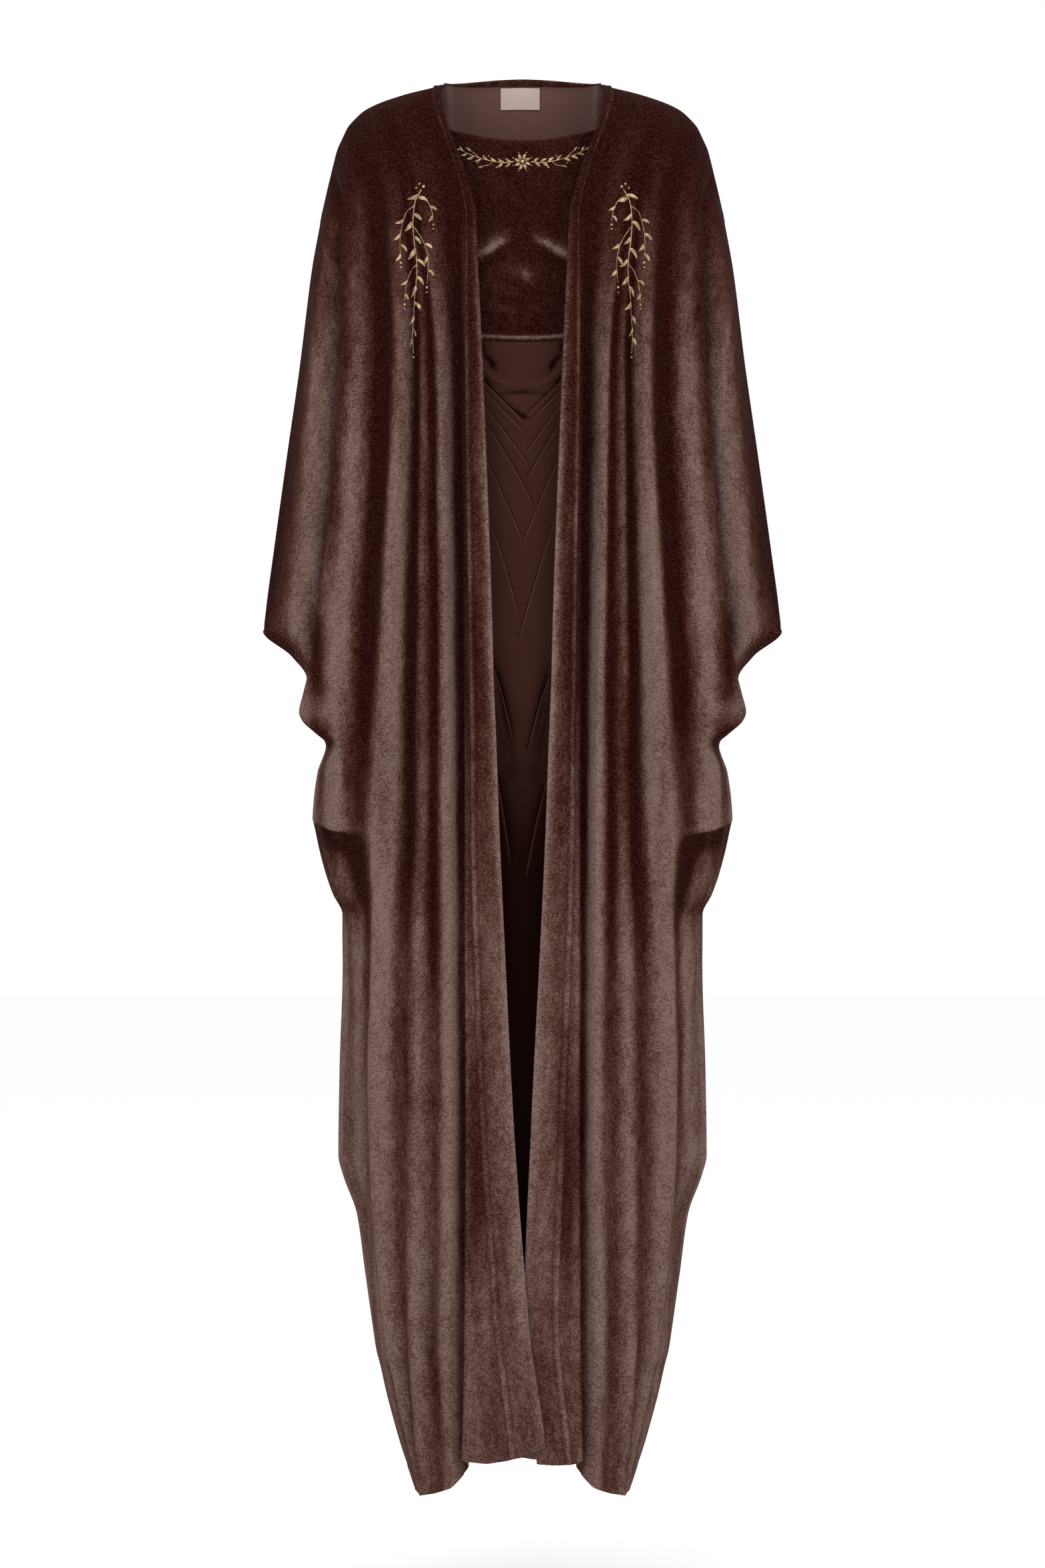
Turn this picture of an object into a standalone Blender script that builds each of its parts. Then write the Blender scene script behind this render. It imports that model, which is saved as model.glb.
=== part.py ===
# Open-front kaftan with batwing sleeves and an attached inner front, as it hangs on a wearer.
# The origin lies midway between the high points of the shoulders, +Z is up and the front faces -Y.
# The tables are in millimetres. A drop is a distance below the origin, across is to the side.
import bpy
import numpy as np

MM = 0.001
SEAM_GAP = 0.3
VELVET_WALL = 2.0
BAND_WALL = 3.0
SATIN_WALL = 1.4
LABEL_WALL = 1.0
SHARP_ANGLE = np.radians(50)
YOKE_DROP = 150.0
HEM_DROP = 1487.0
HEM_CURVE_DROP = 1290.0
CUFF_TOP_DROP = 583.0
CUFF_FOOT_DROP = 704.0

# The form's plan is a superellipse of this power, used up to this share of its width.
SQUARENESS = 2.4
WIDEST_SHARE = 0.995

# How a cubic leaves a shoulder line and meets the cloth below: its pull, and the step that gives the slope.
YOKE_PULL = 1.15
SLOPE_STEP = 12.0

# Half width and depths of the smooth hollow form that the folds stand out from.
FORM = {
    "drop":  (150, 220, 300, 450, 582, 635, 705, 790, 890, 1100, 1300, 1487),
    "width": (218, 232, 242, 262, 278, 262, 240, 234, 208, 206, 176, 130),
    "front": (104, 117, 122, 122, 123, 124, 124, 125, 126, 127, 126, 122),
    "back":  (96, 104, 107, 106, 108, 109, 110, 112, 114, 117, 117, 114),
}

# The half outline from the sleeve's top seam, past the cuff and the side swags, down to the hem.
OUTLINE = {
    "drop":  (150, 200, 300, 400, 500, 560, 582, 610, 635, 650, 671, 679, 692, 705, 735, 780,
              799, 841, 863, 884, 927, 1054, 1140, 1161, 1203, 1267, 1353, 1438, 1487),
    "width": (216, 225, 237.5, 252, 266, 274, 276, 244, 227, 229, 234, 231, 219, 208, 217, 222,
              219, 208, 200, 190, 190, 194, 195, 190, 175, 166, 153, 132, 116),
}

# The shoulder seam, from the neck point to the top of the sleeve.
SHOULDER = {
    "across": (84, 95, 120, 145, 158, 169, 176, 186, 192, 197, 200, 204, 209, 214),
    "drop":   (1, 4, 10, 18, 23, 29, 35, 46, 58, 69, 80, 96, 117, 140),
}
SHOULDER_SLOPES = {
    "across": (84, 150, 190, 214),
    "angle":  (25, 16, 45, 80),
}
BACK_NECK = {
    "across": (0, 30, 56, 74, 84),
    "behind": (56, 53, 42, 24, 0),
    "drop":   (-7, -6, -4, -2, 1),
    "angle":  (72, 70, 58, 42, 25),
}

# Heights of the fold tables: yoke, bust, wrist, cuff, seam, swag, thigh, knee, calf, hem.
LEVELS = (150, 300, 560, 635, 705, 790, 890, 1100, 1300, 1487)
BAND_WIDTH = (10, 17, 24, 25, 27, 30, 32, 35, 36, 36)
FRONT_EDGE = {
    "right": (49, 42, 32, 30, 27, 24, 19.5, 9, -6, -23),
    "left":  (49, 42, 32, 30, 27, 24, 19.5, 9, 2, 15),
}
EDGE_OUT = {
    "right": (7, 9, 10, 9, 8, 8, 8, 7, 7, 7),
    "left":  (7, 9, 10, 9, 8, 8, 8, 6, 0, -1),
}
# Hem drops at the front edge, the band's middle, its stitching and the flap beside it.
FLAP_HEMS = {
    "right": (1432, 1438, 1445, 1449),
    "left":  (1450, 1451, 1451, 1450),
}
LAP = {"drop": 1100, "length": 200, "depth": 4}
BAND_BULGE = 1.5

# Between the neck and the first level the front edge swings out by this much.
NECK_EDGE = {"wide": 8.5, "columns": 8.0, "power": 0.85}

STITCH_OUT = (0, 0, 0, 0, 1, 2, 3, 4, 5, 5)
FLAP_OUT = (-2, -4, -4, -4, -2, 0, 2, 4, 5, 5)

# One entry for each fold of a front: across and out from the form at each level, and the hem's drop.
FRONT_FOLDS = {
    "flap_edge": {
        "across": (66, 63, 61, 60.5, 60, 59.5, 59, 58, 58.5, 60),
        "out": (-4, -9, -9, -8, -5, -2, 1, 4, 5, 5),
        "hem": 1446,
    },
    "flap_tuck": {
        "across": (70, 62.5, 60, 59, 58, 57.5, 56, 54.5, 55, 56.5),
        "out": (-5, -12, -12, -12, -10, -8, -6, -4, -3, -2),
        "hem": 1452,
    },
    "flap_root": {
        "across": (77, 69, 67, 66.5, 66, 65, 63, 61, 61, 62),
        "out": (-5, -13, -15, -15, -14, -13, -12, -11, -10, -8),
        "hem": 1460,
    },
    "ridge_d": {
        "across": (104, 86, 81, 79, 77.5, 76, 75.5, 75, 77, 72),
        "out": (3, 7, 8, 8, 8, 8, 8, 8, 7, 5),
        "hem": 1476,
    },
    "valley_d": {
        "across": (112, 98, 97, 96, 97, 97, 96, 95, 95, 90),
        "out": (-1, -3, -3, -3, -3, -3, -3, -3, -3, -1),
        "hem": 1484,
    },
    "ridge_e": {
        "across": (117, 105, 107, 109, 110, 110, 110, 111, 112, 103),
        "out": (0, 1, 1, 1, 1, 1, 2, 5, 8, 5),
        "hem": 1488,
    },
    "valley_c": {
        "across": (122, 111, 116, 117, 118, 118, 127, 130, 124, 106),
        "out": (-2, -7, -8, -8, -8, -8, -7, -6, -3, 0),
        "hem": 1488,
    },
    "ridge_c": {
        "across": (131, 124, 136, 139, 141, 145, 150, 154, 144, 108),
        "out": (4, 8, 9, 9, 9, 9, 8, 7, 3, 0),
        "hem": 1487,
    },
    "valley_b": {
        "across": (158, 152, 164, 170, 175, 179, 163, 164, 147, 110),
        "out": (-4, -10, -10, -9, -7, -5, -3, -3, -1, 0),
        "hem": 1485,
    },
}

# The folds of the sleeve and the side: how far in from the outline and how far before the seam.
SIDE_FOLDS = {
    "drop":      (150, 300, 560, 582, 610, 635, 655, 679, 705, 790, 890, 1000, 1100, 1300, 1487),
    "ridge_b":   (42, 61.5, 81, 82, 47, 28, 30, 29, 12, 19, 20, 20, 21, 11, 4),
    "b_before":  (72, 95, 97, 97, 95, 92, 88, 82, 72, 66, 76, 72, 66, 62, 66),
    "crease":    (28, 46.5, 61, 61, 25, 2, 0, 0, 3.5, 7, 6, 10, 6, 3.5, 1.5),
    "c_before":  (60, 85, 86, 85, 82, 76, 68, 57, 48, 46, 50, 46, 38, 42, 48),
    "tuck":      (31, 52, 69, 70, 35, 14, 9, 8, 1, 2, 14, 19, 12, 1.5, 0),
    "t_before":  (46, 60, 58, 57, 54, 52, 50, 44, 32, 31, 36, 32, 28, 29, 32),
    "ridge_a":   (16, 27, 46, 46, 19, 10, 14, 13, 0, 0, 1, 2, 1, 0, 0),
    "a_before":  (41, 62, 62, 60, 53, 47, 42, 36, 16, 15, 22, 20, 15, 15, 16),
    "side":      (0, 0, 0, 0, 0, 0, 12, 14, 0, 0, 0, 0, 0, 0, 0),
    "s_before":  (0, 0, 0, 0, 24, 38, 34, 26, 0, 0, 0, 0, 0, 0, 0),
}
SIDE_COLUMNS = (
    ("ridge_b", "b_before"),
    ("crease", "c_before"),
    ("tuck", "t_before"),
    ("ridge_a", "a_before"),
    ("side", "s_before"),
)
SIDE_HEMS = (1483, 1481, 1480, 1479, 1478)

# One row for each fold of a back: its share of the form's width, and out from the form at each level.
BACK_FOLDS = (
    ("centre",   0.00, (0, 1, 3, 3, 3, 3, 4, 5, 5, 5)),
    ("valley_1", 0.11, (0, -2, -5, -6, -5, -4, -5, -7, -8, -7)),
    ("ridge_1",  0.19, (0, 4, 8, 9, 8, 7, 6, 7, 9, 8)),
    ("valley_2", 0.32, (0, -2, -6, -8, -9, -10, -10, -8, -6, -4)),
    ("ridge_2",  0.41, (1, 3, 5, 6, 8, 10, 10, 9, 8, 5)),
    ("valley_3", 0.52, (-1, -6, -10, -10, -9, -7, -5, -5, -6, -4)),
    ("ridge_3",  0.60, (2, 7, 9, 9, 9, 7, 5, 4, 5, 3)),
    ("valley_4", 0.69, (-2, -6, -7, -6, -5, -4, -3, -2, -1, 0)),
)
BACK_HEM = 1484.0

# The inner front's hollow form, inside the fronts, and the half width of its cloth.
INNER = {
    "drop":  (60, 150, 220, 272, 400, 700, 1000, 1400),
    "form":  (178, 178, 178, 178, 176, 170, 160, 135),
    "depth": (64, 80, 91, 95, 95, 93, 90, 84),
    "cloth": (146, 146, 150, 150, 148, 140, 128, 100),
}
WIDEST_INNER_SHARE = 0.99
EMPIRE_DROP = 271.0
SKIRT_HEM_DROP = 1400.0
BUST = {"across": 66, "drop": 205, "radius": 52, "out": 4}
BODICE_NECK = {
    "across": (0, 24, 48, 77),
    "before": (69, 67, 58, 36),
    "drop":   (72, 70.5, 65, 55),
}
# The bodice's shoulder line, under a front's yoke, this many rows below the shoulder seam.
STRAP = (100, 112, 124, 136)
STRAP_ROW = 6
STRAP_GAP = 0.45
STRAP_PULL = 1.1
BODICE_SHARES = (0, 0.16, 0.32, 0.47, 0.62, 0.76, 0.89, 1)
BODICE_SLOPES = {
    "share": (0, 0.32, 0.62, 1),
    "angle": (72, 66, 24, 18),
}
BODICE_YOKE_SHARES = (0, 0.14, 0.3, 0.48, 0.66, 0.84)
BODICE_DROPS = (150, 172, 192, 212, 232, 252, 271)

# Skirt pleats, one row each: the drop at the centre, how far the line climbs to the side, and its relief.
PLEATS = {
    "cowl":     (322, 17, 4.5),
    "v_1":      (356, 42, 2.2),
    "v_2":      (377, 46, 2.2),
    "v_3":      (403, 60, 2.2),
    "v_4":      (440, 77, 2.2),
    "v_5":      (489, 98, 2.2),
    "v_6":      (585, 140, 2.4),
    "v_7":      (706, 165, 2.6),
    "v_8":      (870, 180, 2.6),
}
PLEAT_FOOT = 5.0
PLEAT_SPREAD = 45.0
PLEAT_TURN = 60.0
SKIRT_TOP = {"below": 14, "climb": 4, "out": 0.5}
PLAIN_SKIRT_DROPS = (1000, 1130, 1260, 1400)
PLAIN_SKIRT_CLIMB = 150.0
PLAIN_SKIRT_LENGTH = 400.0
SKIRT_HALF_COLUMNS = 7
NECK_BAND_HEIGHT = 7.2
NECK_BAND_GAP = 0.4
NECK_BAND_END = 80.0
NECK_BAND_TAPER = 0.75
LABEL = {"left": -23.5, "right": 18.5, "top": 1.2, "bottom": 20.8, "rows": 5, "columns": 9}

# Ledges: cloth that sags over its own lower part, at the side swag and above the hem.
LEDGES = (
    {"drop": 785, "slope": 0.36, "height": 12, "overhang": 10,
     "out": 8, "inwards": 11, "recover": 60, "columns": 6},
    {"drop": 1372, "slope": -0.25, "height": 16, "overhang": 3,
     "out": 3, "inwards": 4, "recover": 50, "columns": 8},
)
LEDGE_WIDTH = 222.0
LEDGE_LEAD = 3.0
LEDGE_FADE = {"inner": 2.0, "side": 2.5}


def smooth(at, knots, values):
    # A monotone cubic through a table's column, which never overshoots its neighbours.
    at = np.clip(np.asarray(at, float), knots[0], knots[-1])
    knots = np.asarray(knots, float)
    values = np.asarray(values, float)
    steps = np.diff(knots)
    slopes = np.diff(values) / steps
    tangents = np.zeros(len(knots))
    tangents[0] = slopes[0]
    tangents[-1] = slopes[-1]
    for i in range(1, len(knots) - 1):
        before, after = slopes[i - 1], slopes[i]
        if before * after > 0:
            weight = steps[i - 1] + 2 * steps[i]
            other = 2 * steps[i - 1] + steps[i]
            tangents[i] = (weight + other) / (weight / after + other / before)
    i = np.clip(np.searchsorted(knots, at, side="right") - 1, 0, len(steps) - 1)
    t = (at - knots[i]) / steps[i]
    rise = (2 * t**3 - 3 * t**2 + 1) * values[i] + (3 * t**2 - 2 * t**3) * values[i + 1]
    turn = (t**3 - 2 * t**2 + t) * tangents[i] + (t**3 - t**2) * tangents[i + 1]
    return rise + turn * steps[i]


def ease(value):
    value = np.clip(value, 0, 1)
    return value * value * (3 - 2 * value)


def on_form(across, out, drops, face):
    # Plan points on the smooth form, moved out along its normal. The front faces -Y.
    width = smooth(drops, FORM["drop"], FORM["width"])
    depth = smooth(drops, FORM["drop"], FORM[face])
    share = np.minimum(np.abs(across) / width, WIDEST_SHARE)
    before = depth * (1 - share**SQUARENESS) ** (1 / SQUARENESS)
    sideways = np.sign(across) * share ** (SQUARENESS - 1) / width
    forwards = (before / depth) ** (SQUARENESS - 1) / depth
    length = np.hypot(sideways, forwards)
    return across + out * sideways / length, before + out * forwards / length


def front_stations(drops, lap):
    # Plan points of a front's folds, from its free edge to the side seam.
    edge = smooth(drops, LEVELS, FRONT_EDGE[lap])
    stitch = edge + smooth(drops, LEVELS, BAND_WIDTH)
    flap = (stitch + smooth(drops, LEVELS, FRONT_FOLDS["flap_edge"]["across"])) / 2
    under = LAP["depth"] * ease((drops - LAP["drop"]) / LAP["length"]) * (lap == "left")
    edge_out = smooth(drops, LEVELS, EDGE_OUT[lap])
    stitch_out = smooth(drops, LEVELS, STITCH_OUT) - under
    points = [
        on_form(edge, edge_out, drops, "front"),
        on_form((edge + stitch) / 2, (edge_out + stitch_out) / 2 + BAND_BULGE, drops, "front"),
        on_form(stitch, stitch_out, drops, "front"),
        on_form(flap, smooth(drops, LEVELS, FLAP_OUT) - under, drops, "front"),
    ]
    for fold in FRONT_FOLDS.values():
        across = smooth(drops, LEVELS, fold["across"])
        points.append(on_form(across, smooth(drops, LEVELS, fold["out"]), drops, "front"))
    return points, list(FLAP_HEMS[lap]) + [fold["hem"] for fold in FRONT_FOLDS.values()]


def back_stations(drops):
    width = smooth(drops, FORM["drop"], FORM["width"])
    points = []
    for _, share, out in BACK_FOLDS:
        points.append(on_form(share * width, smooth(drops, LEVELS, out), drops, "back"))
    return points, [BACK_HEM] * len(points)


def side_stations(drops, face):
    outline = smooth(drops, OUTLINE["drop"], OUTLINE["width"])
    depth = smooth(drops, FORM["drop"], FORM[face]) / smooth(drops, FORM["drop"], FORM["front"])
    points = []
    for inset_name, before_name in SIDE_COLUMNS:
        inset = smooth(drops, SIDE_FOLDS["drop"], SIDE_FOLDS[inset_name])
        before = smooth(drops, SIDE_FOLDS["drop"], SIDE_FOLDS[before_name])
        points.append((outline - inset, before * depth))
    return points


def through(stations, columns):
    # A smooth plan curve through the stations of each row, read at the given column numbers.
    chords = np.linalg.norm(np.diff(stations, axis=1), axis=2)[..., None]
    directions = np.diff(stations, axis=1) / chords
    inner = (directions[:, :-1] * chords[:, 1:] + directions[:, 1:] * chords[:, :-1])
    inner = inner / (chords[:, 1:] + chords[:, :-1])
    tangents = np.concatenate([directions[:, :1], inner, directions[:, -1:]], axis=1)
    i = np.clip(np.floor(columns).astype(int), 0, stations.shape[1] - 2)
    t = (columns - i)[None, :, None]
    start, end = stations[:, i], stations[:, i + 1]
    rise = (2 * t**3 - 3 * t**2 + 1) * start + (3 * t**2 - 2 * t**3) * end
    turn = (t**3 - 2 * t**2 + t) * tangents[:, i] + (t**3 - t**2) * tangents[:, i + 1]
    return rise + turn * chords[:, i]


def body(drops, columns, face, lap):
    # The cloth below the yoke: x to the side, y before or behind, z up, all positive to one side.
    drops = np.asarray(drops, float)
    if face == "front":
        points, hems = front_stations(drops, lap)
    else:
        points, hems = back_stations(drops)
    points = points + side_stations(drops, face)
    hems = np.array(hems + list(SIDE_HEMS))
    plan = through(np.array(points).transpose(2, 0, 1), columns)
    across, before = plan[..., 0], plan[..., 1]
    hem = np.interp(columns, np.arange(len(hems)), hems)
    low = ease((drops[:, None] - HEM_CURVE_DROP) / (HEM_DROP - HEM_CURVE_DROP))
    down = drops[:, None] + (hem - HEM_DROP) * low
    last = len(hems) - 1
    for ledge in LEDGES:
        weight = ease((columns - last + ledge["columns"]) / LEDGE_FADE["inner"])
        weight = weight * ease((last - columns) / LEDGE_FADE["side"])
        centre = ledge["drop"] + ledge["slope"] * (LEDGE_WIDTH - across)
        past = (drops[:, None] - centre) / ledge["height"]
        tail = np.exp(-np.maximum(drops[:, None] - centre, 0) / ledge["recover"])
        lead = np.exp(-((np.minimum(past, 0) / LEDGE_LEAD) ** 2))
        down = down - weight * ledge["overhang"] * past * np.exp(0.5 - 0.5 * past**2)
        step = ease((past + 1) / 2)
        before = before + weight * (ledge["out"] * lead * (1 - step) - ledge["inwards"] * tail * step)
    return np.stack([across, before, -down], axis=2)


def top_edge(face):
    # The neck and shoulder line that the cloth hangs from, with the slope at which it leaves it.
    across = np.array(SHOULDER["across"], float)
    drop = np.array(SHOULDER["drop"], float)
    line = np.stack([across, 0 * across, -drop], axis=1)
    steep = np.interp(across, SHOULDER_SLOPES["across"], SHOULDER_SLOPES["angle"])
    if face == "back":
        neck = np.stack([BACK_NECK["across"], BACK_NECK["behind"], -np.array(BACK_NECK["drop"])], axis=1)
        line = np.concatenate([neck[:-1].astype(float), line])
        steep = np.concatenate([BACK_NECK["angle"][:-1], steep])
    return line, np.radians(steep)


def yoke(shares, columns, face, lap):
    # The cloth from the shoulder line to the first level, rounded over the shoulder.
    line, steep = top_edge(face)
    along = np.concatenate([[0], np.cumsum(np.linalg.norm(np.diff(line, axis=0), axis=1))])
    dense = np.linspace(0, columns_of(face), 400)
    plan = body([YOKE_DROP], dense, face, lap)[0]
    reach = np.concatenate([[0], np.cumsum(np.linalg.norm(np.diff(plan, axis=0), axis=1))])
    place = np.interp(columns, dense, reach / reach[-1]) * along[-1]
    start = np.stack([smooth(place, along, line[:, k]) for k in range(3)], axis=1)
    slope = np.interp(place, along, steep)
    first, second = body([YOKE_DROP, YOKE_DROP + SLOPE_STEP], columns, face, lap)
    span = np.linalg.norm(first - start, axis=1)[:, None]
    leave = np.stack([0 * slope, np.cos(slope), -np.sin(slope)], axis=1) * span * YOKE_PULL
    arrive = (second - first) / np.linalg.norm(second - first, axis=1)[:, None] * span * YOKE_PULL
    t = np.asarray(shares, float)[:, None, None]
    rise = (2 * t**3 - 3 * t**2 + 1) * start + (3 * t**2 - 2 * t**3) * first
    points = rise + (t**3 - 2 * t**2 + t) * leave + (t**3 - t**2) * arrive
    if face == "front":
        swing = np.maximum(np.sin(np.pi * t[..., 0]), 0) ** NECK_EDGE["power"]
        near = ease((NECK_EDGE["columns"] - columns) / NECK_EDGE["columns"])
        points[..., 0] += NECK_EDGE["wide"] * swing * near
    return points


def columns_of(face):
    folds = len(FLAP_HEMS["right"]) + len(FRONT_FOLDS) if face == "front" else len(BACK_FOLDS)
    return folds + len(SIDE_COLUMNS) - 1


def cloth(rows, columns, face, lap="right"):
    # Rows up to the yoke's drop are read on the yoke, and the others on the body.
    rows = np.asarray(rows, float)
    high = rows[rows < YOKE_DROP]
    low = rows[rows >= YOKE_DROP]
    parts = []
    if len(high):
        parts.append(yoke(high / YOKE_DROP, columns, face, lap))
    if len(low):
        parts.append(body(low, columns, face, lap))
    points = np.concatenate(parts)
    if face == "front":
        points[..., 1] *= -1
    return points


def bisecting(points):
    # Directions along each row, midway between those of the two chords at a point.
    chords = np.diff(points, axis=1)
    chords = chords / np.linalg.norm(chords, axis=2)[..., None]
    return np.concatenate([chords[:, :1], chords[:, :-1] + chords[:, 1:], chords[:, -1:]], axis=1)


def normals_of(points):
    along = bisecting(points)
    down = bisecting(points.transpose(1, 0, 2)).transpose(1, 0, 2)
    normals = np.cross(down, along)
    return normals / np.linalg.norm(normals, axis=2)[..., None]


def flatten(normals, axis):
    # Turns a border's normals into the seam's plane, so that two pieces meet edge to edge.
    normals[..., axis] = 0
    return normals / np.linalg.norm(normals, axis=-1)[..., None]


def shell(name, points, normals, wall, material):
    # A closed wall around a grid of points, as thick as the cloth.
    rows, columns = points.shape[:2]
    half = np.asarray(wall) / 2
    if half.ndim:
        half = half[..., None]
    layers = np.concatenate([points + normals * half, points - normals * half])
    vertices = layers.reshape(-1, 3) * MM
    number = np.arange(2 * rows * columns).reshape(2, rows, columns)
    front, back = number
    faces = []
    for r in range(rows - 1):
        for c in range(columns - 1):
            faces.append((front[r, c], front[r, c + 1], front[r + 1, c + 1], front[r + 1, c]))
            faces.append((back[r, c], back[r + 1, c], back[r + 1, c + 1], back[r, c + 1]))
    rim = [(r, 0) for r in range(rows)] + [(rows - 1, c) for c in range(1, columns)]
    rim += [(r, columns - 1) for r in range(rows - 2, -1, -1)] + [(0, c) for c in range(columns - 2, 0, -1)]
    for (r, c), (s, d) in zip(rim, rim[1:] + rim[:1]):
        faces.append((front[r, c], front[s, d], back[s, d], back[r, c]))
    mesh = bpy.data.meshes.new(name)
    mesh.from_pydata(vertices.tolist(), [], [tuple(int(i) for i in face) for face in faces])
    if signed_volume(mesh) < 0:
        mesh.flip_normals()
    mesh.shade_smooth()
    mesh.set_sharp_from_angle(angle=SHARP_ANGLE)
    mesh.materials.append(material)
    piece = bpy.data.objects.new(name, mesh)
    bpy.context.scene.collection.objects.link(piece)
    return piece


def signed_volume(mesh):
    mesh.calc_loop_triangles()
    corners = np.array([[mesh.vertices[i].co[:] for i in t.vertices] for t in mesh.loop_triangles])
    return float(np.linalg.det(corners).sum())


def cloth_material(name, colour, roughness):
    material = bpy.data.materials.new(name)
    material.use_nodes = True
    shader = material.node_tree.nodes["Principled BSDF"]
    shader.inputs["Base Color"].default_value = (*colour, 1)
    shader.inputs["Roughness"].default_value = roughness
    shader.inputs["Metallic"].default_value = 0
    return material


def mirrored(points):
    return points * np.array([-1, 1, 1])


def seam_rows(rows):
    # True where the side is sewn, and false along the cuff, which is open.
    return (rows < CUFF_TOP_DROP) | (rows > CUFF_FOOT_DROP)


BODY_ROWS = np.array([
    0, 18, 44, 78, 114, 150, 200, 255, 325, 410, 500, 560, 582, 600, 618, 635, 650, 665, 679, 692, 705,
    732, 758, 773, 782, 790, 799, 812, 835, 870, 930, 1020, 1100, 1140, 1180, 1225, 1270, 1310,
    1345, 1368, 1388, 1420, 1455, 1487], float)
FRONT_COLUMNS = np.array([0, 1, 2, 3, 4, 5, 6, 6.5, 7, 8, 9, 10, 11, 12, 13, 14, 14.5, 15, 15.5, 16, 17])
BACK_COLUMNS = np.array([0, 0.5, 1, 1.5, 2, 2.5, 3, 4, 5, 6, 7, 8, 9, 9.5, 10, 10.5, 11, 12])
STITCH_COLUMN = 2


def front_pieces(side, velvet, band):
    points = cloth(BODY_ROWS, FRONT_COLUMNS, "front", side)
    normals = normals_of(points)
    normals[0] = flatten(normals[0], 1)
    sewn = seam_rows(BODY_ROWS)
    normals[sewn, -1] = flatten(normals[sewn, -1], 1)
    points[sewn, -1, 1] = np.minimum(points[sewn, -1, 1], -SEAM_GAP / 2)
    points[0, :, 1] = -SEAM_GAP / 2
    edge = points[:, : STITCH_COLUMN + 1].copy()
    panel = points[:, STITCH_COLUMN:].copy()
    apart = np.cross(np.gradient(panel[:, 0], axis=0), normals[:, STITCH_COLUMN])
    apart *= np.sign((apart * (panel[:, 1] - panel[:, 0])).sum(axis=1))[:, None]
    apart *= 0.75 * SEAM_GAP / np.linalg.norm(apart, axis=1)[:, None]
    edge[:, -1] -= apart
    panel[:, 0] += apart
    edge_normals = normals[:, : STITCH_COLUMN + 1]
    panel_normals = normals[:, STITCH_COLUMN:]
    if side == "right":
        edge, panel = mirrored(edge), mirrored(panel)
        edge_normals, panel_normals = mirrored(edge_normals), mirrored(panel_normals)
    shell("front_" + side, panel, panel_normals, VELVET_WALL, velvet)
    shell("front_band_" + side, edge, edge_normals, BAND_WALL, band)


def neck_rise(across):
    # The direction in which the back neck edge stands up.
    slope = np.radians(np.interp(np.abs(across), BACK_NECK["across"], BACK_NECK["angle"]))
    return np.stack([0 * slope, -np.cos(slope), np.sin(slope)], axis=-1)


def neck_normals(edge):
    normals = np.cross(np.gradient(edge, axis=0), neck_rise(edge[:, 0]))
    return normals / np.linalg.norm(normals, axis=1)[:, None]


def back_piece(side, velvet):
    points = cloth(BODY_ROWS, BACK_COLUMNS, "back")
    normals = normals_of(points)
    line = points[0, :, 0] >= SHOULDER["across"][0] - 1
    above = neck_normals(points[0])
    normals[0] = above * np.sign((above * normals[0]).sum(axis=1))[:, None]
    normals[0, line] = flatten(normals[0, line], 1)
    sewn = seam_rows(BODY_ROWS)
    normals[sewn, -1] = flatten(normals[sewn, -1], 1)
    normals[:, 0] = flatten(normals[:, 0], 0)
    points[sewn, -1, 1] = np.maximum(points[sewn, -1, 1], SEAM_GAP / 2)
    points[0, line, 1] = SEAM_GAP / 2
    points[:, 0, 0] = SEAM_GAP / 2
    if side == "right":
        points, normals = mirrored(points), mirrored(normals)
    shell("back_" + side, points, normals, VELVET_WALL, velvet)


def under_front(across, row, inwards):
    # A point under a front's yoke, moved in from its middle surface.
    dense = np.linspace(0, columns_of("front"), 200)
    rows = np.array([row - 2, row, row + 2])
    points = cloth(rows, dense, "front")
    moved = points[1] - normals_of(points)[1] * inwards
    return [np.interp(across, points[1, :, 0], moved[:, k]) for k in range(3)]


def inner_form(across, drops):
    form = smooth(drops, INNER["drop"], INNER["form"])
    depth = smooth(drops, INNER["drop"], INNER["depth"])
    share = np.minimum(np.abs(across) / form, WIDEST_INNER_SHARE)
    before = depth * (1 - share**SQUARENESS) ** (1 / SQUARENESS)
    away = np.hypot(np.abs(across) - BUST["across"], drops - BUST["drop"]) / BUST["radius"]
    return before + BUST["out"] * np.exp(-(away**2))


def inner_row(shares, drop, out=0, climb=0):
    # A row of the inner front's points. Its sides climb in an arc that levels off outwards.
    across = shares * smooth(drop, INNER["drop"], INNER["cloth"])
    rise = climb * (1 + (PLEAT_SPREAD / PLEAT_TURN) ** 2) * across / PLEAT_SPREAD
    drops = drop - rise / (1 + (across / PLEAT_TURN) ** 2)
    return np.stack([across, -inner_form(across, drops) - out, -drops], axis=1)


def whole(half):
    # A half grid, from the centre out, and its mirror image as one grid.
    return np.concatenate([mirrored(half[:, :0:-1]), half], axis=1)


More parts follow.
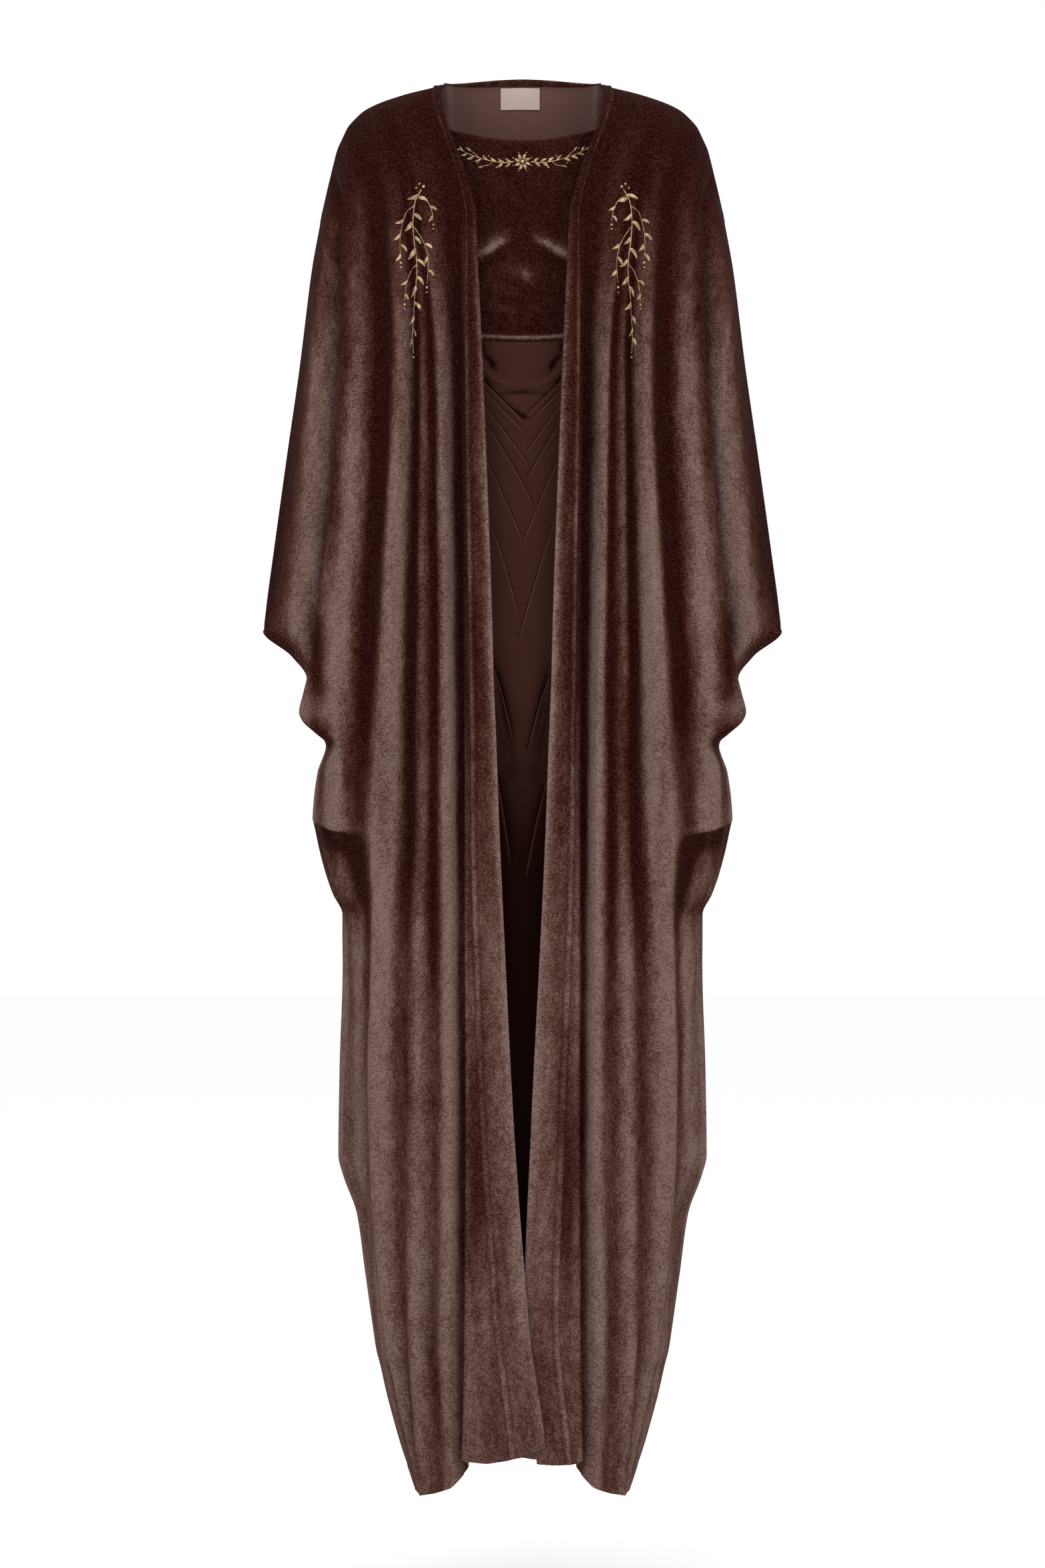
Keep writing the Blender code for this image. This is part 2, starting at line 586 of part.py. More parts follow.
def bodice_piece(velvet):
    shares = np.array(BODICE_SHARES)
    neck = [(x, -y, -z) for x, y, z in zip(*BODICE_NECK.values())]
    start = np.array(neck + [under_front(x, STRAP_ROW, VELVET_WALL + STRAP_GAP) for x in STRAP])
    first, second = [inner_row(shares, drop) for drop in (YOKE_DROP, YOKE_DROP + SLOPE_STEP)]
    span = np.linalg.norm(first - start, axis=1)[:, None]
    slope = np.radians(np.interp(shares, BODICE_SLOPES["share"], BODICE_SLOPES["angle"]))
    leave = np.stack([0 * slope, -np.cos(slope), -np.sin(slope)], axis=1) * span * STRAP_PULL
    arrive = (second - first) / np.linalg.norm(second - first, axis=1)[:, None] * span * STRAP_PULL
    t = np.array(BODICE_YOKE_SHARES)[:, None, None]
    high = (2 * t**3 - 3 * t**2 + 1) * start + (3 * t**2 - 2 * t**3) * first
    high = high + (t**3 - 2 * t**2 + t) * leave + (t**3 - t**2) * arrive
    low = [inner_row(shares, drop) for drop in BODICE_DROPS]
    points = whole(np.concatenate([high, low]))
    normals = normals_of(points)
    normals[-1] = flatten(normals[-1], 2)
    shell("inner_bodice", points, normals, VELVET_WALL, velvet)


def skirt_piece(satin):
    # Rows follow the pleats: each has a raised fold and, just below it, the cloth that it lies on.
    top = EMPIRE_DROP + SEAM_GAP
    lines = [(top, 0, 0), (top + SKIRT_TOP["below"], SKIRT_TOP["climb"], SKIRT_TOP["out"])]
    for drop, climb, out in PLEATS.values():
        lines += [(drop, climb, out), (drop + PLEAT_FOOT, climb, -out / 2)]
    for drop in PLAIN_SKIRT_DROPS:
        lines.append((drop, PLAIN_SKIRT_CLIMB * (SKIRT_HEM_DROP - drop) / PLAIN_SKIRT_LENGTH, 0))
    shares = np.linspace(0, 1, SKIRT_HALF_COLUMNS)
    points = whole(np.array([inner_row(shares, drop, out, climb) for drop, climb, out in lines]))
    normals = normals_of(points)
    normals[0] = flatten(normals[0], 2)
    shell("inner_skirt", points, normals, SATIN_WALL, satin)


def neck_band_piece(band):
    # The binding stands on the back neck edge, in line with the cloth below it.
    line = cloth([0], BACK_COLUMNS, "back")[0]
    away = np.append(line[line[:, 0] < NECK_BAND_END, 0], NECK_BAND_END)
    half = np.stack([np.interp(away, line[:, 0], line[:, k]) for k in range(3)], axis=1)
    edge = np.concatenate([mirrored(half[:0:-1]), half])
    height = NECK_BAND_HEIGHT * (1 - NECK_BAND_TAPER * (edge[:, 0] / NECK_BAND_END) ** 2)
    rise = neck_rise(edge[:, 0])
    points = np.array([edge + rise * (NECK_BAND_GAP + height * share)[:, None] for share in (1, 0.5, 0)])
    normals = np.array([neck_normals(edge)] * 3)
    shell("back_neck_band", points, normals, BAND_WALL, band)


def label_piece(material):
    across = np.linspace(LABEL["left"], LABEL["right"], LABEL["columns"])
    dense = np.linspace(0, 2, 60)
    inwards = VELVET_WALL / 2 + SEAM_GAP + LABEL_WALL / 2
    points = []
    for row in np.linspace(LABEL["top"], LABEL["bottom"], LABEL["rows"]):
        back = cloth([row - 1, row, row + 1], dense, "back")
        inner = back[1] - outward(normals_of(back)[1]) * inwards
        behind, up = [np.interp(np.abs(across), back[1, :, 0], inner[:, k]) for k in (1, 2)]
        points.append(np.stack([across, behind, up], axis=1))
    points = np.array(points)
    shell("label", points, normals_of(points), LABEL_WALL, material)


def outward(normals):
    # Back normals that face away from the front.
    return normals * np.sign(normals[:, 1])[:, None]


def main():
    for old in list(bpy.data.objects):
        bpy.data.objects.remove(old, do_unlink=True)
    velvet = cloth_material("velvet", (0.07, 0.032, 0.027), 0.75)
    band = cloth_material("velvet_band", (0.075, 0.035, 0.03), 0.75)
    satin = cloth_material("satin", (0.045, 0.013, 0.011), 0.35)
    woven_label = cloth_material("woven_label", (0.6, 0.45, 0.43), 0.5)
    for side in ("right", "left"):
        front_pieces(side, velvet, band)
        back_piece(side, velvet)
    neck_band_piece(band)
    bodice_piece(velvet)
    skirt_piece(satin)
    label_piece(woven_label)


main()
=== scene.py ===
import bpy
import numpy as np
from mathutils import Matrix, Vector
from mathutils.bvhtree import BVHTree
from mathutils.geometry import delaunay_2d_cdt


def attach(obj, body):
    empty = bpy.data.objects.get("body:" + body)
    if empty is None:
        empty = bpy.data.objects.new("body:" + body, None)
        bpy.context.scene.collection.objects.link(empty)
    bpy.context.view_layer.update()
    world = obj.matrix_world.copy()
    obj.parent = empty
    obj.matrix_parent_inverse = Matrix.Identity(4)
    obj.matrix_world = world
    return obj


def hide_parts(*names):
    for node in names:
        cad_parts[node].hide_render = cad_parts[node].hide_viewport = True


# Velvet kaftan in its worn shape with nobody in it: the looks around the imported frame.
# Tables are in millimetres. A drop is a distance below the shoulders, across is to the side.
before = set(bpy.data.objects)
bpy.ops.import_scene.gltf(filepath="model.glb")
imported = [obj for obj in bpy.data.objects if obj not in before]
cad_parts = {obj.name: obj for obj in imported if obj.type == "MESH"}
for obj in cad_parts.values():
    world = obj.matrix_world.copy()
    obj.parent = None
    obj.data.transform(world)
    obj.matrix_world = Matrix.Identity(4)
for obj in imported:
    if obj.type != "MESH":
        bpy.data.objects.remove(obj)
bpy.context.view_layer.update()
print("frame:", len(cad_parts), "nodes")

mm = 0.001

# the garment, then its smooth hollow form: half width and depths, and the half outline seen from the front
garment = {
    "yokeDrop": 150.0,
    "hemDrop": 1487.0,
    "hemCurveDrop": 1290.0,
    "cuffTop": 583.0,
    "cuffFoot": 704.0,
    "seamGap": 0.4,
    "velvetWall": 1.7,
    "satinWall": 0.9,
    "squareness": 2.4,
    "widestShare": 0.995,
    "yokePull": 1.15,
    "slopeStep": 12.0,
}
formTable = {
    "drop":  (150, 220, 300, 450, 582, 635, 705, 790, 890, 1100, 1300, 1487),
    "width": (218, 232, 242, 262, 278, 262, 240, 234, 208, 206, 176, 130),
    "front": (104, 117, 122, 122, 123, 124, 124, 125, 126, 127, 126, 122),
    "back":  (96, 104, 107, 106, 108, 109, 110, 112, 114, 117, 117, 114),
}
outlineTable = {
    "drop":  (150, 200, 300, 400, 500, 560, 582, 610, 635, 650, 671, 679, 692, 705, 735, 780,
              799, 841, 863, 884, 927, 1054, 1140, 1161, 1203, 1267, 1353, 1438, 1487),
    "width": (216, 225, 237.5, 252, 266, 274, 276, 244, 227, 229, 234, 231, 219, 208, 217, 222,
              219, 208, 200, 190, 190, 194, 195, 190, 175, 166, 153, 132, 116),
}
shoulderTable = {
    "across": (84, 95, 120, 145, 158, 169, 176, 186, 192, 197, 200, 204, 209, 214),
    "drop":   (1, 4, 10, 18, 23, 29, 35, 46, 58, 69, 80, 96, 117, 140),
}
shoulderSlopes = {
    "across": (84, 150, 190, 214),
    "angle":  (25, 16, 45, 80),
}
backNeckTable = {
    "across": (0, 30, 56, 74, 84),
    "behind": (56, 53, 42, 24, 0),
    "drop":   (-7, -6, -4, -2, 1),
    "angle":  (72, 70, 58, 42, 25),
}

# heights of the fold tables: yoke, bust, wrist, cuff, seam, swag, thigh, knee, calf, hem
levels = (150, 300, 560, 635, 705, 790, 890, 1100, 1300, 1487)
bandSizes = {
    "width": (10, 17, 24, 25, 27, 30, 32, 35, 36, 36),
    "rightEdge": (49, 42, 32, 30, 27, 24, 19.5, 9, -6, -23),
    "leftEdge": (49, 42, 32, 30, 27, 24, 19.5, 9, 2, 15),
    "rightOut": (7, 9, 10, 9, 8, 8, 8, 7, 7, 7),
    "leftOut": (7, 9, 10, 9, 8, 8, 8, 6, 0, -1),
    "rightHems": (1432, 1438, 1445, 1449),
    "leftHems": (1450, 1451, 1451, 1450),
    "seamOut": (0, 0, 0, 0, 1, 2, 3, 4, 5, 5),
    "flapOut": (-2, -4, -4, -4, -2, 0, 2, 4, 5, 5),
    "bulge": 1.5,
    "lapDrop": 1100,
    "lapLength": 200,
    "lapDepth": 4,
}

# one row for each fold of a front: its hem's drop, then across and out from the form at each level
frontFolds = (
    # the flap's edge, where it tucks in, and its root
    (1446, (66, 63, 61, 60.5, 60, 59.5, 59, 58, 58.5, 60), (-4, -9, -9, -8, -5, -2, 1, 4, 5, 5)),
    (1452, (70, 62.5, 60, 59, 58, 57.5, 56, 54.5, 55, 56.5), (-5, -12, -12, -12, -10, -8, -6, -4, -3, -2)),
    (1460, (77, 69, 67, 66.5, 66, 65, 63, 61, 61, 62), (-5, -13, -15, -15, -14, -13, -12, -11, -10, -8)),
    # ridges and valleys in turn
    (1476, (104, 86, 81, 79, 77.5, 76, 75.5, 75, 77, 72), (3, 7, 8, 8, 8, 8, 8, 8, 7, 5)),
    (1484, (112, 98, 97, 96, 97, 97, 96, 95, 95, 90), (-1, -3, -3, -3, -3, -3, -3, -3, -3, -1)),
    (1488, (117, 105, 107, 109, 110, 110, 110, 111, 112, 103), (0, 1, 1, 1, 1, 1, 2, 5, 8, 5)),
    (1488, (122, 111, 116, 117, 118, 118, 127, 130, 124, 106), (-2, -7, -8, -8, -8, -8, -7, -6, -3, 0)),
    (1487, (131, 124, 136, 139, 141, 145, 150, 154, 144, 108), (4, 8, 9, 9, 9, 9, 8, 7, 3, 0)),
    (1485, (158, 152, 164, 170, 175, 179, 163, 164, 147, 110), (-4, -10, -10, -9, -7, -5, -3, -3, -1, 0)),
)

# the folds of the sleeve and the side: how far in from the outline and how far before the seam, at each
# drop. They are the wide ridge, the crease, the tuck, the narrow ridge and the seam itself.
sideDrops = (150, 300, 560, 582, 610, 635, 655, 679, 705, 790, 890, 1000, 1100, 1300, 1487)
sideFolds = (
    ((42, 61.5, 81, 82, 47, 28, 30, 29, 12, 19, 20, 20, 21, 11, 4),
     (72, 95, 97, 97, 95, 92, 88, 82, 72, 66, 76, 72, 66, 62, 66)),
    ((28, 46.5, 61, 61, 25, 2, 0, 0, 3.5, 7, 6, 10, 6, 3.5, 1.5),
     (60, 85, 86, 85, 82, 76, 68, 57, 48, 46, 50, 46, 38, 42, 48)),
    ((31, 52, 69, 70, 35, 14, 9, 8, 1, 2, 14, 19, 12, 1.5, 0),
     (46, 60, 58, 57, 54, 52, 50, 44, 32, 31, 36, 32, 28, 29, 32)),
    ((16, 27, 46, 46, 19, 10, 14, 13, 0, 0, 1, 2, 1, 0, 0),
     (41, 62, 62, 60, 53, 47, 42, 36, 16, 15, 22, 20, 15, 15, 16)),
    ((0, 0, 0, 0, 0, 0, 12, 14, 0, 0, 0, 0, 0, 0, 0),
     (0, 0, 0, 0, 24, 38, 34, 26, 0, 0, 0, 0, 0, 0, 0)),
)
sideHems = (1483, 1481, 1480, 1479, 1478)

# one row for each fold of a back, in turn from the centre: its share of the form's width, and out from
# the form at each level
backFolds = (
    (0.00, (0, 1, 3, 3, 3, 3, 4, 5, 5, 5)),
    (0.11, (0, -2, -5, -6, -5, -4, -5, -7, -8, -7)),
    (0.19, (0, 4, 8, 9, 8, 7, 6, 7, 9, 8)),
    (0.32, (0, -2, -6, -8, -9, -10, -10, -8, -6, -4)),
    (0.41, (1, 3, 5, 6, 8, 10, 10, 9, 8, 5)),
    (0.52, (-1, -6, -10, -10, -9, -7, -5, -5, -6, -4)),
    (0.60, (2, 7, 9, 9, 9, 7, 5, 4, 5, 3)),
    (0.69, (-2, -6, -7, -6, -5, -4, -3, -2, -1, 0)),
)
# where the cloth of the sleeve hangs over at the side: the upper ledge and the lower one
ledges = (
    {"drop": 785, "slope": 0.36, "height": 12, "overhang": 10,
     "out": 8, "inwards": 11, "recover": 60, "columns": 6},
    {"drop": 1372, "slope": -0.25, "height": 16, "overhang": 3,
     "out": 3, "inwards": 4, "recover": 50, "columns": 8},
)
ledgeSizes = {"width": 222.0, "lead": 3.0, "innerFade": 2.0, "sideFade": 2.5}
backHem = 1484.0


def ease(value):
    value = np.clip(value, 0, 1)
    return value * value * (3 - 2 * value)


def bell(distance, width):
    # 1 on a line, fading over the width on both sides of it
    return np.exp(-((distance / width) ** 2))


def norms(vectors):
    return np.linalg.norm(vectors, axis=-1)


def unit(vectors):
    return vectors / norms(vectors)[..., None]


def areaOf(first, second, third):
    # the area in square metres of triangles, given as their corners
    return norms(np.cross(second - first, third - first)).sum() / 2 * mm * mm


def lengthsAlong(points):
    return np.concatenate([[0], np.cumsum(norms(np.diff(points, axis=0)))])


def hermite(start, end, leave, arrive, t):
    rise = (2 * t**3 - 3 * t**2 + 1) * start + (3 * t**2 - 2 * t**3) * end
    return rise + (t**3 - 2 * t**2 + t) * leave + (t**3 - t**2) * arrive


def curved(at, knots, values, slopes):
    # a cubic through the values, with a slope at each of them
    i = np.clip(np.searchsorted(knots, at, side="right") - 1, 0, len(knots) - 2)
    span = knots[i + 1] - knots[i]
    return hermite(values[i], values[i + 1], slopes[i] * span, slopes[i + 1] * span, (at - knots[i]) / span)


def smooth(at, knots, values):
    # a monotone cubic through a table's column
    at = np.clip(np.asarray(at, float), knots[0], knots[-1])
    knots = np.asarray(knots, float)
    values = np.asarray(values, float)
    steps = np.diff(knots)
    slopes = np.diff(values) / steps
    tangents = np.zeros(len(knots))
    tangents[0] = slopes[0]
    tangents[-1] = slopes[-1]
    for i in range(1, len(knots) - 1):
        before, after = slopes[i - 1], slopes[i]
        if before * after > 0:
            weight = steps[i - 1] + 2 * steps[i]
            other = 2 * steps[i - 1] + steps[i]
            tangents[i] = (weight + other) / (weight / after + other / before)
    return curved(at, knots, values, tangents)


def readFrom(table, name, drops):
    return smooth(drops, table["drop"], table[name])


def onForm(across, out, drops, face):
    # plan points on the smooth form, moved out along its normal
    power = garment["squareness"]
    width = readFrom(formTable, "width", drops)
    depth = readFrom(formTable, face, drops)
    share = np.minimum(np.abs(across) / width, garment["widestShare"])
    before = depth * (1 - share**power) ** (1 / power)
    sideways = np.sign(across) * share ** (power - 1) / width
    forwards = (before / depth) ** (power - 1) / depth
    length = np.hypot(sideways, forwards)
    return across + out * sideways / length, before + out * forwards / length


def frontStations(drops, lap):
    # plan points of a front's folds, from its free edge towards the side seam
    sizes = bandSizes

    def level(values):
        return smooth(drops, levels, values)

    edge = level(sizes[lap + "Edge"])
    seam = edge + level(sizes["width"])
    flap = (seam + level(frontFolds[0][1])) / 2
    under = sizes["lapDepth"] * ease((drops - sizes["lapDrop"]) / sizes["lapLength"]) * (lap == "left")
    edgeOut = level(sizes[lap + "Out"])
    seamOut = level(sizes["seamOut"]) - under
    stations = [
        (edge, edgeOut),
        ((edge + seam) / 2, (edgeOut + seamOut) / 2 + sizes["bulge"]),
        (seam, seamOut),
        (flap, level(sizes["flapOut"]) - under),
    ]
    stations += [(level(across), level(out)) for _, across, out in frontFolds]
    hems = list(sizes[lap + "Hems"]) + [hem for hem, _, _ in frontFolds]
    return [onForm(across, out, drops, "front") for across, out in stations], hems


def backStations(drops):
    width = readFrom(formTable, "width", drops)
    points = [onForm(share * width, smooth(drops, levels, out), drops, "back") for share, out in backFolds]
    return points, [backHem] * len(points)


def sideStations(drops, face):
    outline = readFrom(outlineTable, "width", drops)
    depth = readFrom(formTable, face, drops)
    depth = depth / readFrom(formTable, "front", drops)
    points = []
    for fold in sideFolds:
        inset, before = [smooth(drops, sideDrops, values) for values in fold]
        points.append((outline - inset, before * depth))
    return points


def through(stations, columns):
    # a smooth plan curve through the stations of each row, read at the given column numbers
    steps = np.diff(stations, axis=1)
    chords = norms(steps)[..., None]
    directions = steps / chords
    inner = directions[:, :-1] * chords[:, 1:] + directions[:, 1:] * chords[:, :-1]
    inner = inner / (chords[:, 1:] + chords[:, :-1])
    tangents = np.concatenate([directions[:, :1], inner, directions[:, -1:]], axis=1)
    i = np.clip(np.floor(columns).astype(int), 0, stations.shape[1] - 2)
    t = (columns - i)[None, :, None]
    span = chords[:, i]
    return hermite(stations[:, i], stations[:, i + 1], tangents[:, i] * span, tangents[:, i + 1] * span, t)


def body(drops, columns, face, lap):
    # the cloth below the yoke, all of it positive to one side
    drops = np.asarray(drops, float)
    points, hems = frontStations(drops, lap) if face == "front" else backStations(drops)
    points = points + sideStations(drops, face)
    hems = np.array(hems + list(sideHems))
    plan = through(np.array(points).transpose(2, 0, 1), columns)
    across, before = plan[..., 0], plan[..., 1]
    drops = drops[:, None]
    hem = np.interp(columns, np.arange(len(hems)), hems)
    low = ease((drops - garment["hemCurveDrop"]) / (garment["hemDrop"] - garment["hemCurveDrop"]))
    down = drops + (hem - garment["hemDrop"]) * low
    last = len(hems) - 1
    for ledge in ledges:
        weight = ease((columns - last + ledge["columns"]) / ledgeSizes["innerFade"])
        weight = weight * ease((last - columns) / ledgeSizes["sideFade"])
        centre = ledge["drop"] + ledge["slope"] * (ledgeSizes["width"] - across)
        past = (drops - centre) / ledge["height"]
        tail = np.exp(-np.maximum(drops - centre, 0) / ledge["recover"])
        lead = bell(np.minimum(past, 0), ledgeSizes["lead"])
        down = down - weight * ledge["overhang"] * past * np.exp(0.5 - 0.5 * past**2)
        step = ease((past + 1) / 2)
        before = before + weight * (ledge["out"] * lead * (1 - step) - ledge["inwards"] * tail * step)
    return np.stack([across, before, -down], axis=2)


def topEdge(face):
    # the neck and shoulder line that the cloth hangs from, with the slope at which it leaves it
    across = np.array(shoulderTable["across"], float)
    drop = np.array(shoulderTable["drop"], float)
    line = np.stack([across, 0 * across, -drop], axis=1)
    steep = np.interp(across, shoulderSlopes["across"], shoulderSlopes["angle"])
    if face == "back":
        neck = np.array([backNeckTable[name] for name in ("across", "behind", "drop")], float).T
        line = np.concatenate([neck[:-1] * (1, 1, -1), line])
        steep = np.concatenate([backNeckTable["angle"][:-1], steep])
    return line, np.radians(steep)


def columnsOf(face):
    folds = len(bandSizes["rightHems"]) + len(frontFolds) if face == "front" else len(backFolds)
    return folds + len(sideFolds) - 1


def hang(start, slope, first, second, shares, pull, forwards):
    # cloth from a shoulder line, at each point's slope, to the row below, in its direction there
    span = norms(first - start)[:, None]
    leave = np.stack([0 * slope, forwards * np.cos(slope), -np.sin(slope)], axis=1) * span * pull
    arrive = unit(second - first) * span * pull
    return hermite(start, first, leave, arrive, np.asarray(shares, float)[:, None, None])


# how far the front edge swings out between the neck and the first level, and over how many columns
neckEdge = {"wide": 8.5, "columns": 8.0, "power": 0.85}
# how many points are measured along a line before its own points are chosen
samples = {"yoke": 400, "panel": 900, "neck": 300, "strap": 200, "label": 60}


def yoke(shares, columns, face, lap):
    line, steep = topEdge(face)
    along = lengthsAlong(line)
    top = garment["yokeDrop"]
    dense = np.linspace(0, columnsOf(face), samples["yoke"])
    reach = lengthsAlong(body([top], dense, face, lap)[0])
    place = np.interp(columns, dense, reach / reach[-1]) * along[-1]
    start = np.stack([smooth(place, along, line[:, k]) for k in range(3)], axis=1)
    slope = np.interp(place, along, steep)
    first, second = body([top, top + garment["slopeStep"]], columns, face, lap)
    points = hang(start, slope, first, second, shares, garment["yokePull"], 1)
    if face == "front":
        swing = np.maximum(np.sin(np.pi * np.asarray(shares, float)), 0) ** neckEdge["power"]
        near = ease((neckEdge["columns"] - columns) / neckEdge["columns"])
        points[..., 0] += neckEdge["wide"] * swing[:, None] * near
    return points


def cloth(rows, columns, face, lap="right"):
    # rows up to the yoke's drop are read on the yoke, and the others on the body
    rows = np.asarray(rows, float)
    high = rows[rows < garment["yokeDrop"]]
    low = rows[rows >= garment["yokeDrop"]]
    parts = []
    if len(high):
        parts.append(yoke(high / garment["yokeDrop"], columns, face, lap))
    if len(low):
        parts.append(body(low, columns, face, lap))
    points = np.concatenate(parts)
    if face == "front":
        points[..., 1] *= -1
    return points


def bisecting(points):
    chords = unit(np.diff(points, axis=1))
    return np.concatenate([chords[:, :1], chords[:, :-1] + chords[:, 1:], chords[:, -1:]], axis=1)


def normalsOf(points):
    # normals that point away from the wearer, on a grid whose first rows are its top
    down = bisecting(points.transpose(1, 0, 2)).transpose(1, 0, 2)
    normals = unit(np.cross(down, bisecting(points)))
    return normals * np.sign((normals[..., 1] * points[..., 1]).sum())


class Link:
    # a socket of one finish, so that maths on it can be written as it reads
    def __init__(self, finish, socket):
        self.finish = finish
        self.socket = socket

    def maths(self, kind, *values):
        return self.finish.node("ShaderNodeMath", {"operation": kind}, dict(enumerate((self, *values))))

    def __add__(self, other):
        return self.maths("ADD", other)

    def __sub__(self, other):
        return self.maths("SUBTRACT", other)

    def __mul__(self, other):
        return self.maths("MULTIPLY", other)

    def __truediv__(self, other):
        return self.maths("DIVIDE", other)

    def cosine(self):
        return self.maths("COSINE")

    def floor(self):
        return self.maths("FLOOR")

    def between(self, low, high):
        # 0 below low, 1 above high, eased between
        return self.finish.node("ShaderNodeMapRange", {"interpolation_type": "SMOOTHSTEP"},
                                {"Value": self, "From Min": low, "From Max": high})


class Finish:
    # one material: its Principled shader with plain settings, and what drives them
    def __init__(self, name, settings):
        self.material = bpy.data.materials.new(name)
        self.material.use_nodes = True
        self.tree = self.material.node_tree
        self.shader = self.tree.nodes["Principled BSDF"]
        for socket, value in settings.items():
            self.shader.inputs[socket].default_value = value

    def node(self, kind, settings=None, sockets=None, out=0):
        node = self.tree.nodes.new(kind)
        for key, value in (settings or {}).items():
            setattr(node, key, value)
        for key, value in (sockets or {}).items():
            self.join(value, node.inputs[key])
        return Link(self, node.outputs[out])

    def join(self, value, socket):
        if isinstance(value, Link):
            self.tree.links.new(value.socket, socket)
        else:
            socket.default_value = value

    def set(self, socket, value):
        self.join(value, self.shader.inputs[socket])

    def relief(self, strength, distance, height):
        sockets = {"Strength": strength, "Distance": distance, "Height": height}
        self.set("Normal", self.node("ShaderNodeBump", {}, sockets))

    def noise(self, place, scale, detail=2.0, roughness=0.5):
        sockets = {"Vector": place, "Scale": scale, "Detail": detail, "Roughness": roughness}
        return self.node("ShaderNodeTexNoise", {}, sockets)

    def clothNoise(self, stretch, scale, detail=2.0, roughness=0.5):
        # noise on the cloth's own coordinates, in metres from its edge and its top
        flat = self.node("ShaderNodeUVMap", {"uv_map": "cloth"})
        place = self.node("ShaderNodeMapping", {}, {"Vector": flat, "Scale": (*stretch, 1)})
        return self.noise(place, scale, detail, roughness)

    # reads the stored painted light and shade, with the velvet pile's paleness
    def paintedLightAndNap(self):
        return self.node("ShaderNodeAttribute", {"attribute_name": "paintedLightAndNap"}, {}, "Fac")

    def ramp(self, share, stops):
        link = self.node("ShaderNodeValToRGB", {}, {0: share})
        elements = link.socket.node.color_ramp.elements
        for place, _ in stops[1:-1]:
            elements.new(place)
        for stop, (place, colour) in zip(elements, stops):
            stop.position = place
            stop.color = (*colour, 1)
        return link

    def mix(self, share, first, second, kind="MIX"):
        # a plain colour is three numbers
        node = self.tree.nodes.new("ShaderNodeMix")
        node.data_type = "RGBA"
        node.blend_type = kind
        for value, socket in zip((share, first, second), (0, 6, 7)):
            self.join((*value, 1) if isinstance(value, tuple) else value, node.inputs[socket])
        return Link(self, node.outputs[2])


velvetLook = {
    "wale": 0.0019,        # from one knitted column to the next, in metres
    "course": 0.00125,     # from one row to the next, staggered
    "tones": (             # from painted shade and dark pile to painted light and pale pile
        (0.0, (0.0135, 0.0018, 0.0012)),
        (0.25, (0.0325, 0.0090, 0.0064)),
        (0.5, (0.061, 0.0270, 0.0220)),
        (0.75, (0.101, 0.056, 0.0480)),
        (1.0, (0.158, 0.099, 0.088)),
    ),
    "paintedLightAndNap": 0.93,           # how much the painted light and shade of the folds counts
    "unsure": (1.25, 0.10),    # where it is easily turned: most between pale and dark, and never none
    # noise that turns it: stretch, scale, detail and roughness, then how much where unsure, and least
    "noises": {
        "crush": (((80, 34), 1.0, 5.0, 0.62), 1.5, 0),
        "combed": (((430, 95), 1.0, 3.0, 0.7), 1.1, 0.1),
        "drift": (((42, 6), 1.0, 2.0, 0.5), 1.3, 0),
        "grain": (((1, 1), 420.0, 2.0, 0.5), 0, 0.15),
    },
    "stitches": (0.36, 0.18),  # how much each knitted stitch's top is painted paler and its gaps painted darker on pale pile, and least
    "chance": (0.34, 0.12),    # and how much they differ
    # how much paler the bands' copy of the velvet is, as painted light
    "bandShade": 1.05,
    "glint": (0.30, 0.215, 0.19),
    "glintShare": 0.20,
    "glintTop": 0.66,
    "grainRelief": 0.6,
    "relief": (0.5, 0.0005),
}
insideLook = {
    "dark": (0.118, 0.056, 0.048),
    "pale": (0.165, 0.084, 0.074),
    "cloud": ((1, 1), 26.0, 3.0),
    "ribShare": 0.4,
    "cloudShare": 0.5,
    "relief": (0.4, 0.0004),
}
satinLook = {
    "dark": (0.0052, 0.0007, 0.0003),
    "mid": (0.0370, 0.0128, 0.0099),
    "pale": (0.066, 0.0270, 0.0215),
    "cloud": ((9, 9), 3.0, 3.0),
    "cloudShare": 0.25,
    "paleSpan": (0.5, 1.0),    # the tones over which painted highlight turns it paler, and how far under them painted shade turns it dark
    "darkSpan": (0.05, 0.45),
    "threads": ((900, 180), 2.0, 2.0),
    "roughness": (0.1, 0.38),
    "relief": (0.10, 0.0002),
}
labelLook = {
    "wale": 0.0006,
    "course": 0.0004,
    "dark": (0.50, 0.36, 0.34),
    "pale": (0.68, 0.53, 0.51),
    "cloud": ((1, 1), 60.0, 2.0),
    "share": 0.4,
    "relief": (0.3, 0.0002),
}
threadLook = {"patch": 220.0, "patchSpan": (0.35, 0.65), "strand": 1500.0, "relief": (0.5, 0.0003)}
goldLook = {"dark": (0.200, 0.130, 0.060), "pale": (0.470, 0.325, 0.185), "roughness": 0.42}
seamLook = {"dark": (0.016, 0.004, 0.003), "pale": (0.040, 0.016, 0.012), "roughness": 0.8}


def knitBumps(finish, look):
    # staggered rounded stitches, 1 at their tops, a chance number for each, and the place across in wales
    flat = finish.node("ShaderNodeUVMap", {"uv_map": "cloth"})
    across = finish.node("ShaderNodeSeparateXYZ", {}, {0: flat}, 0) / look["wale"]
    down = finish.node("ShaderNodeSeparateXYZ", {}, {0: flat}, 1) / look["course"]
    wave = (across * np.pi).cosine() * (down * np.pi).cosine()
    cell = finish.node("ShaderNodeCombineXYZ", {}, {0: (across + 0.5).floor(), 1: (down + 0.5).floor()})
    chance = finish.node("ShaderNodeTexWhiteNoise", {"noise_dimensions": "2D"}, {"Vector": cell})
    return wave * 0.5 + 0.5, chance, across


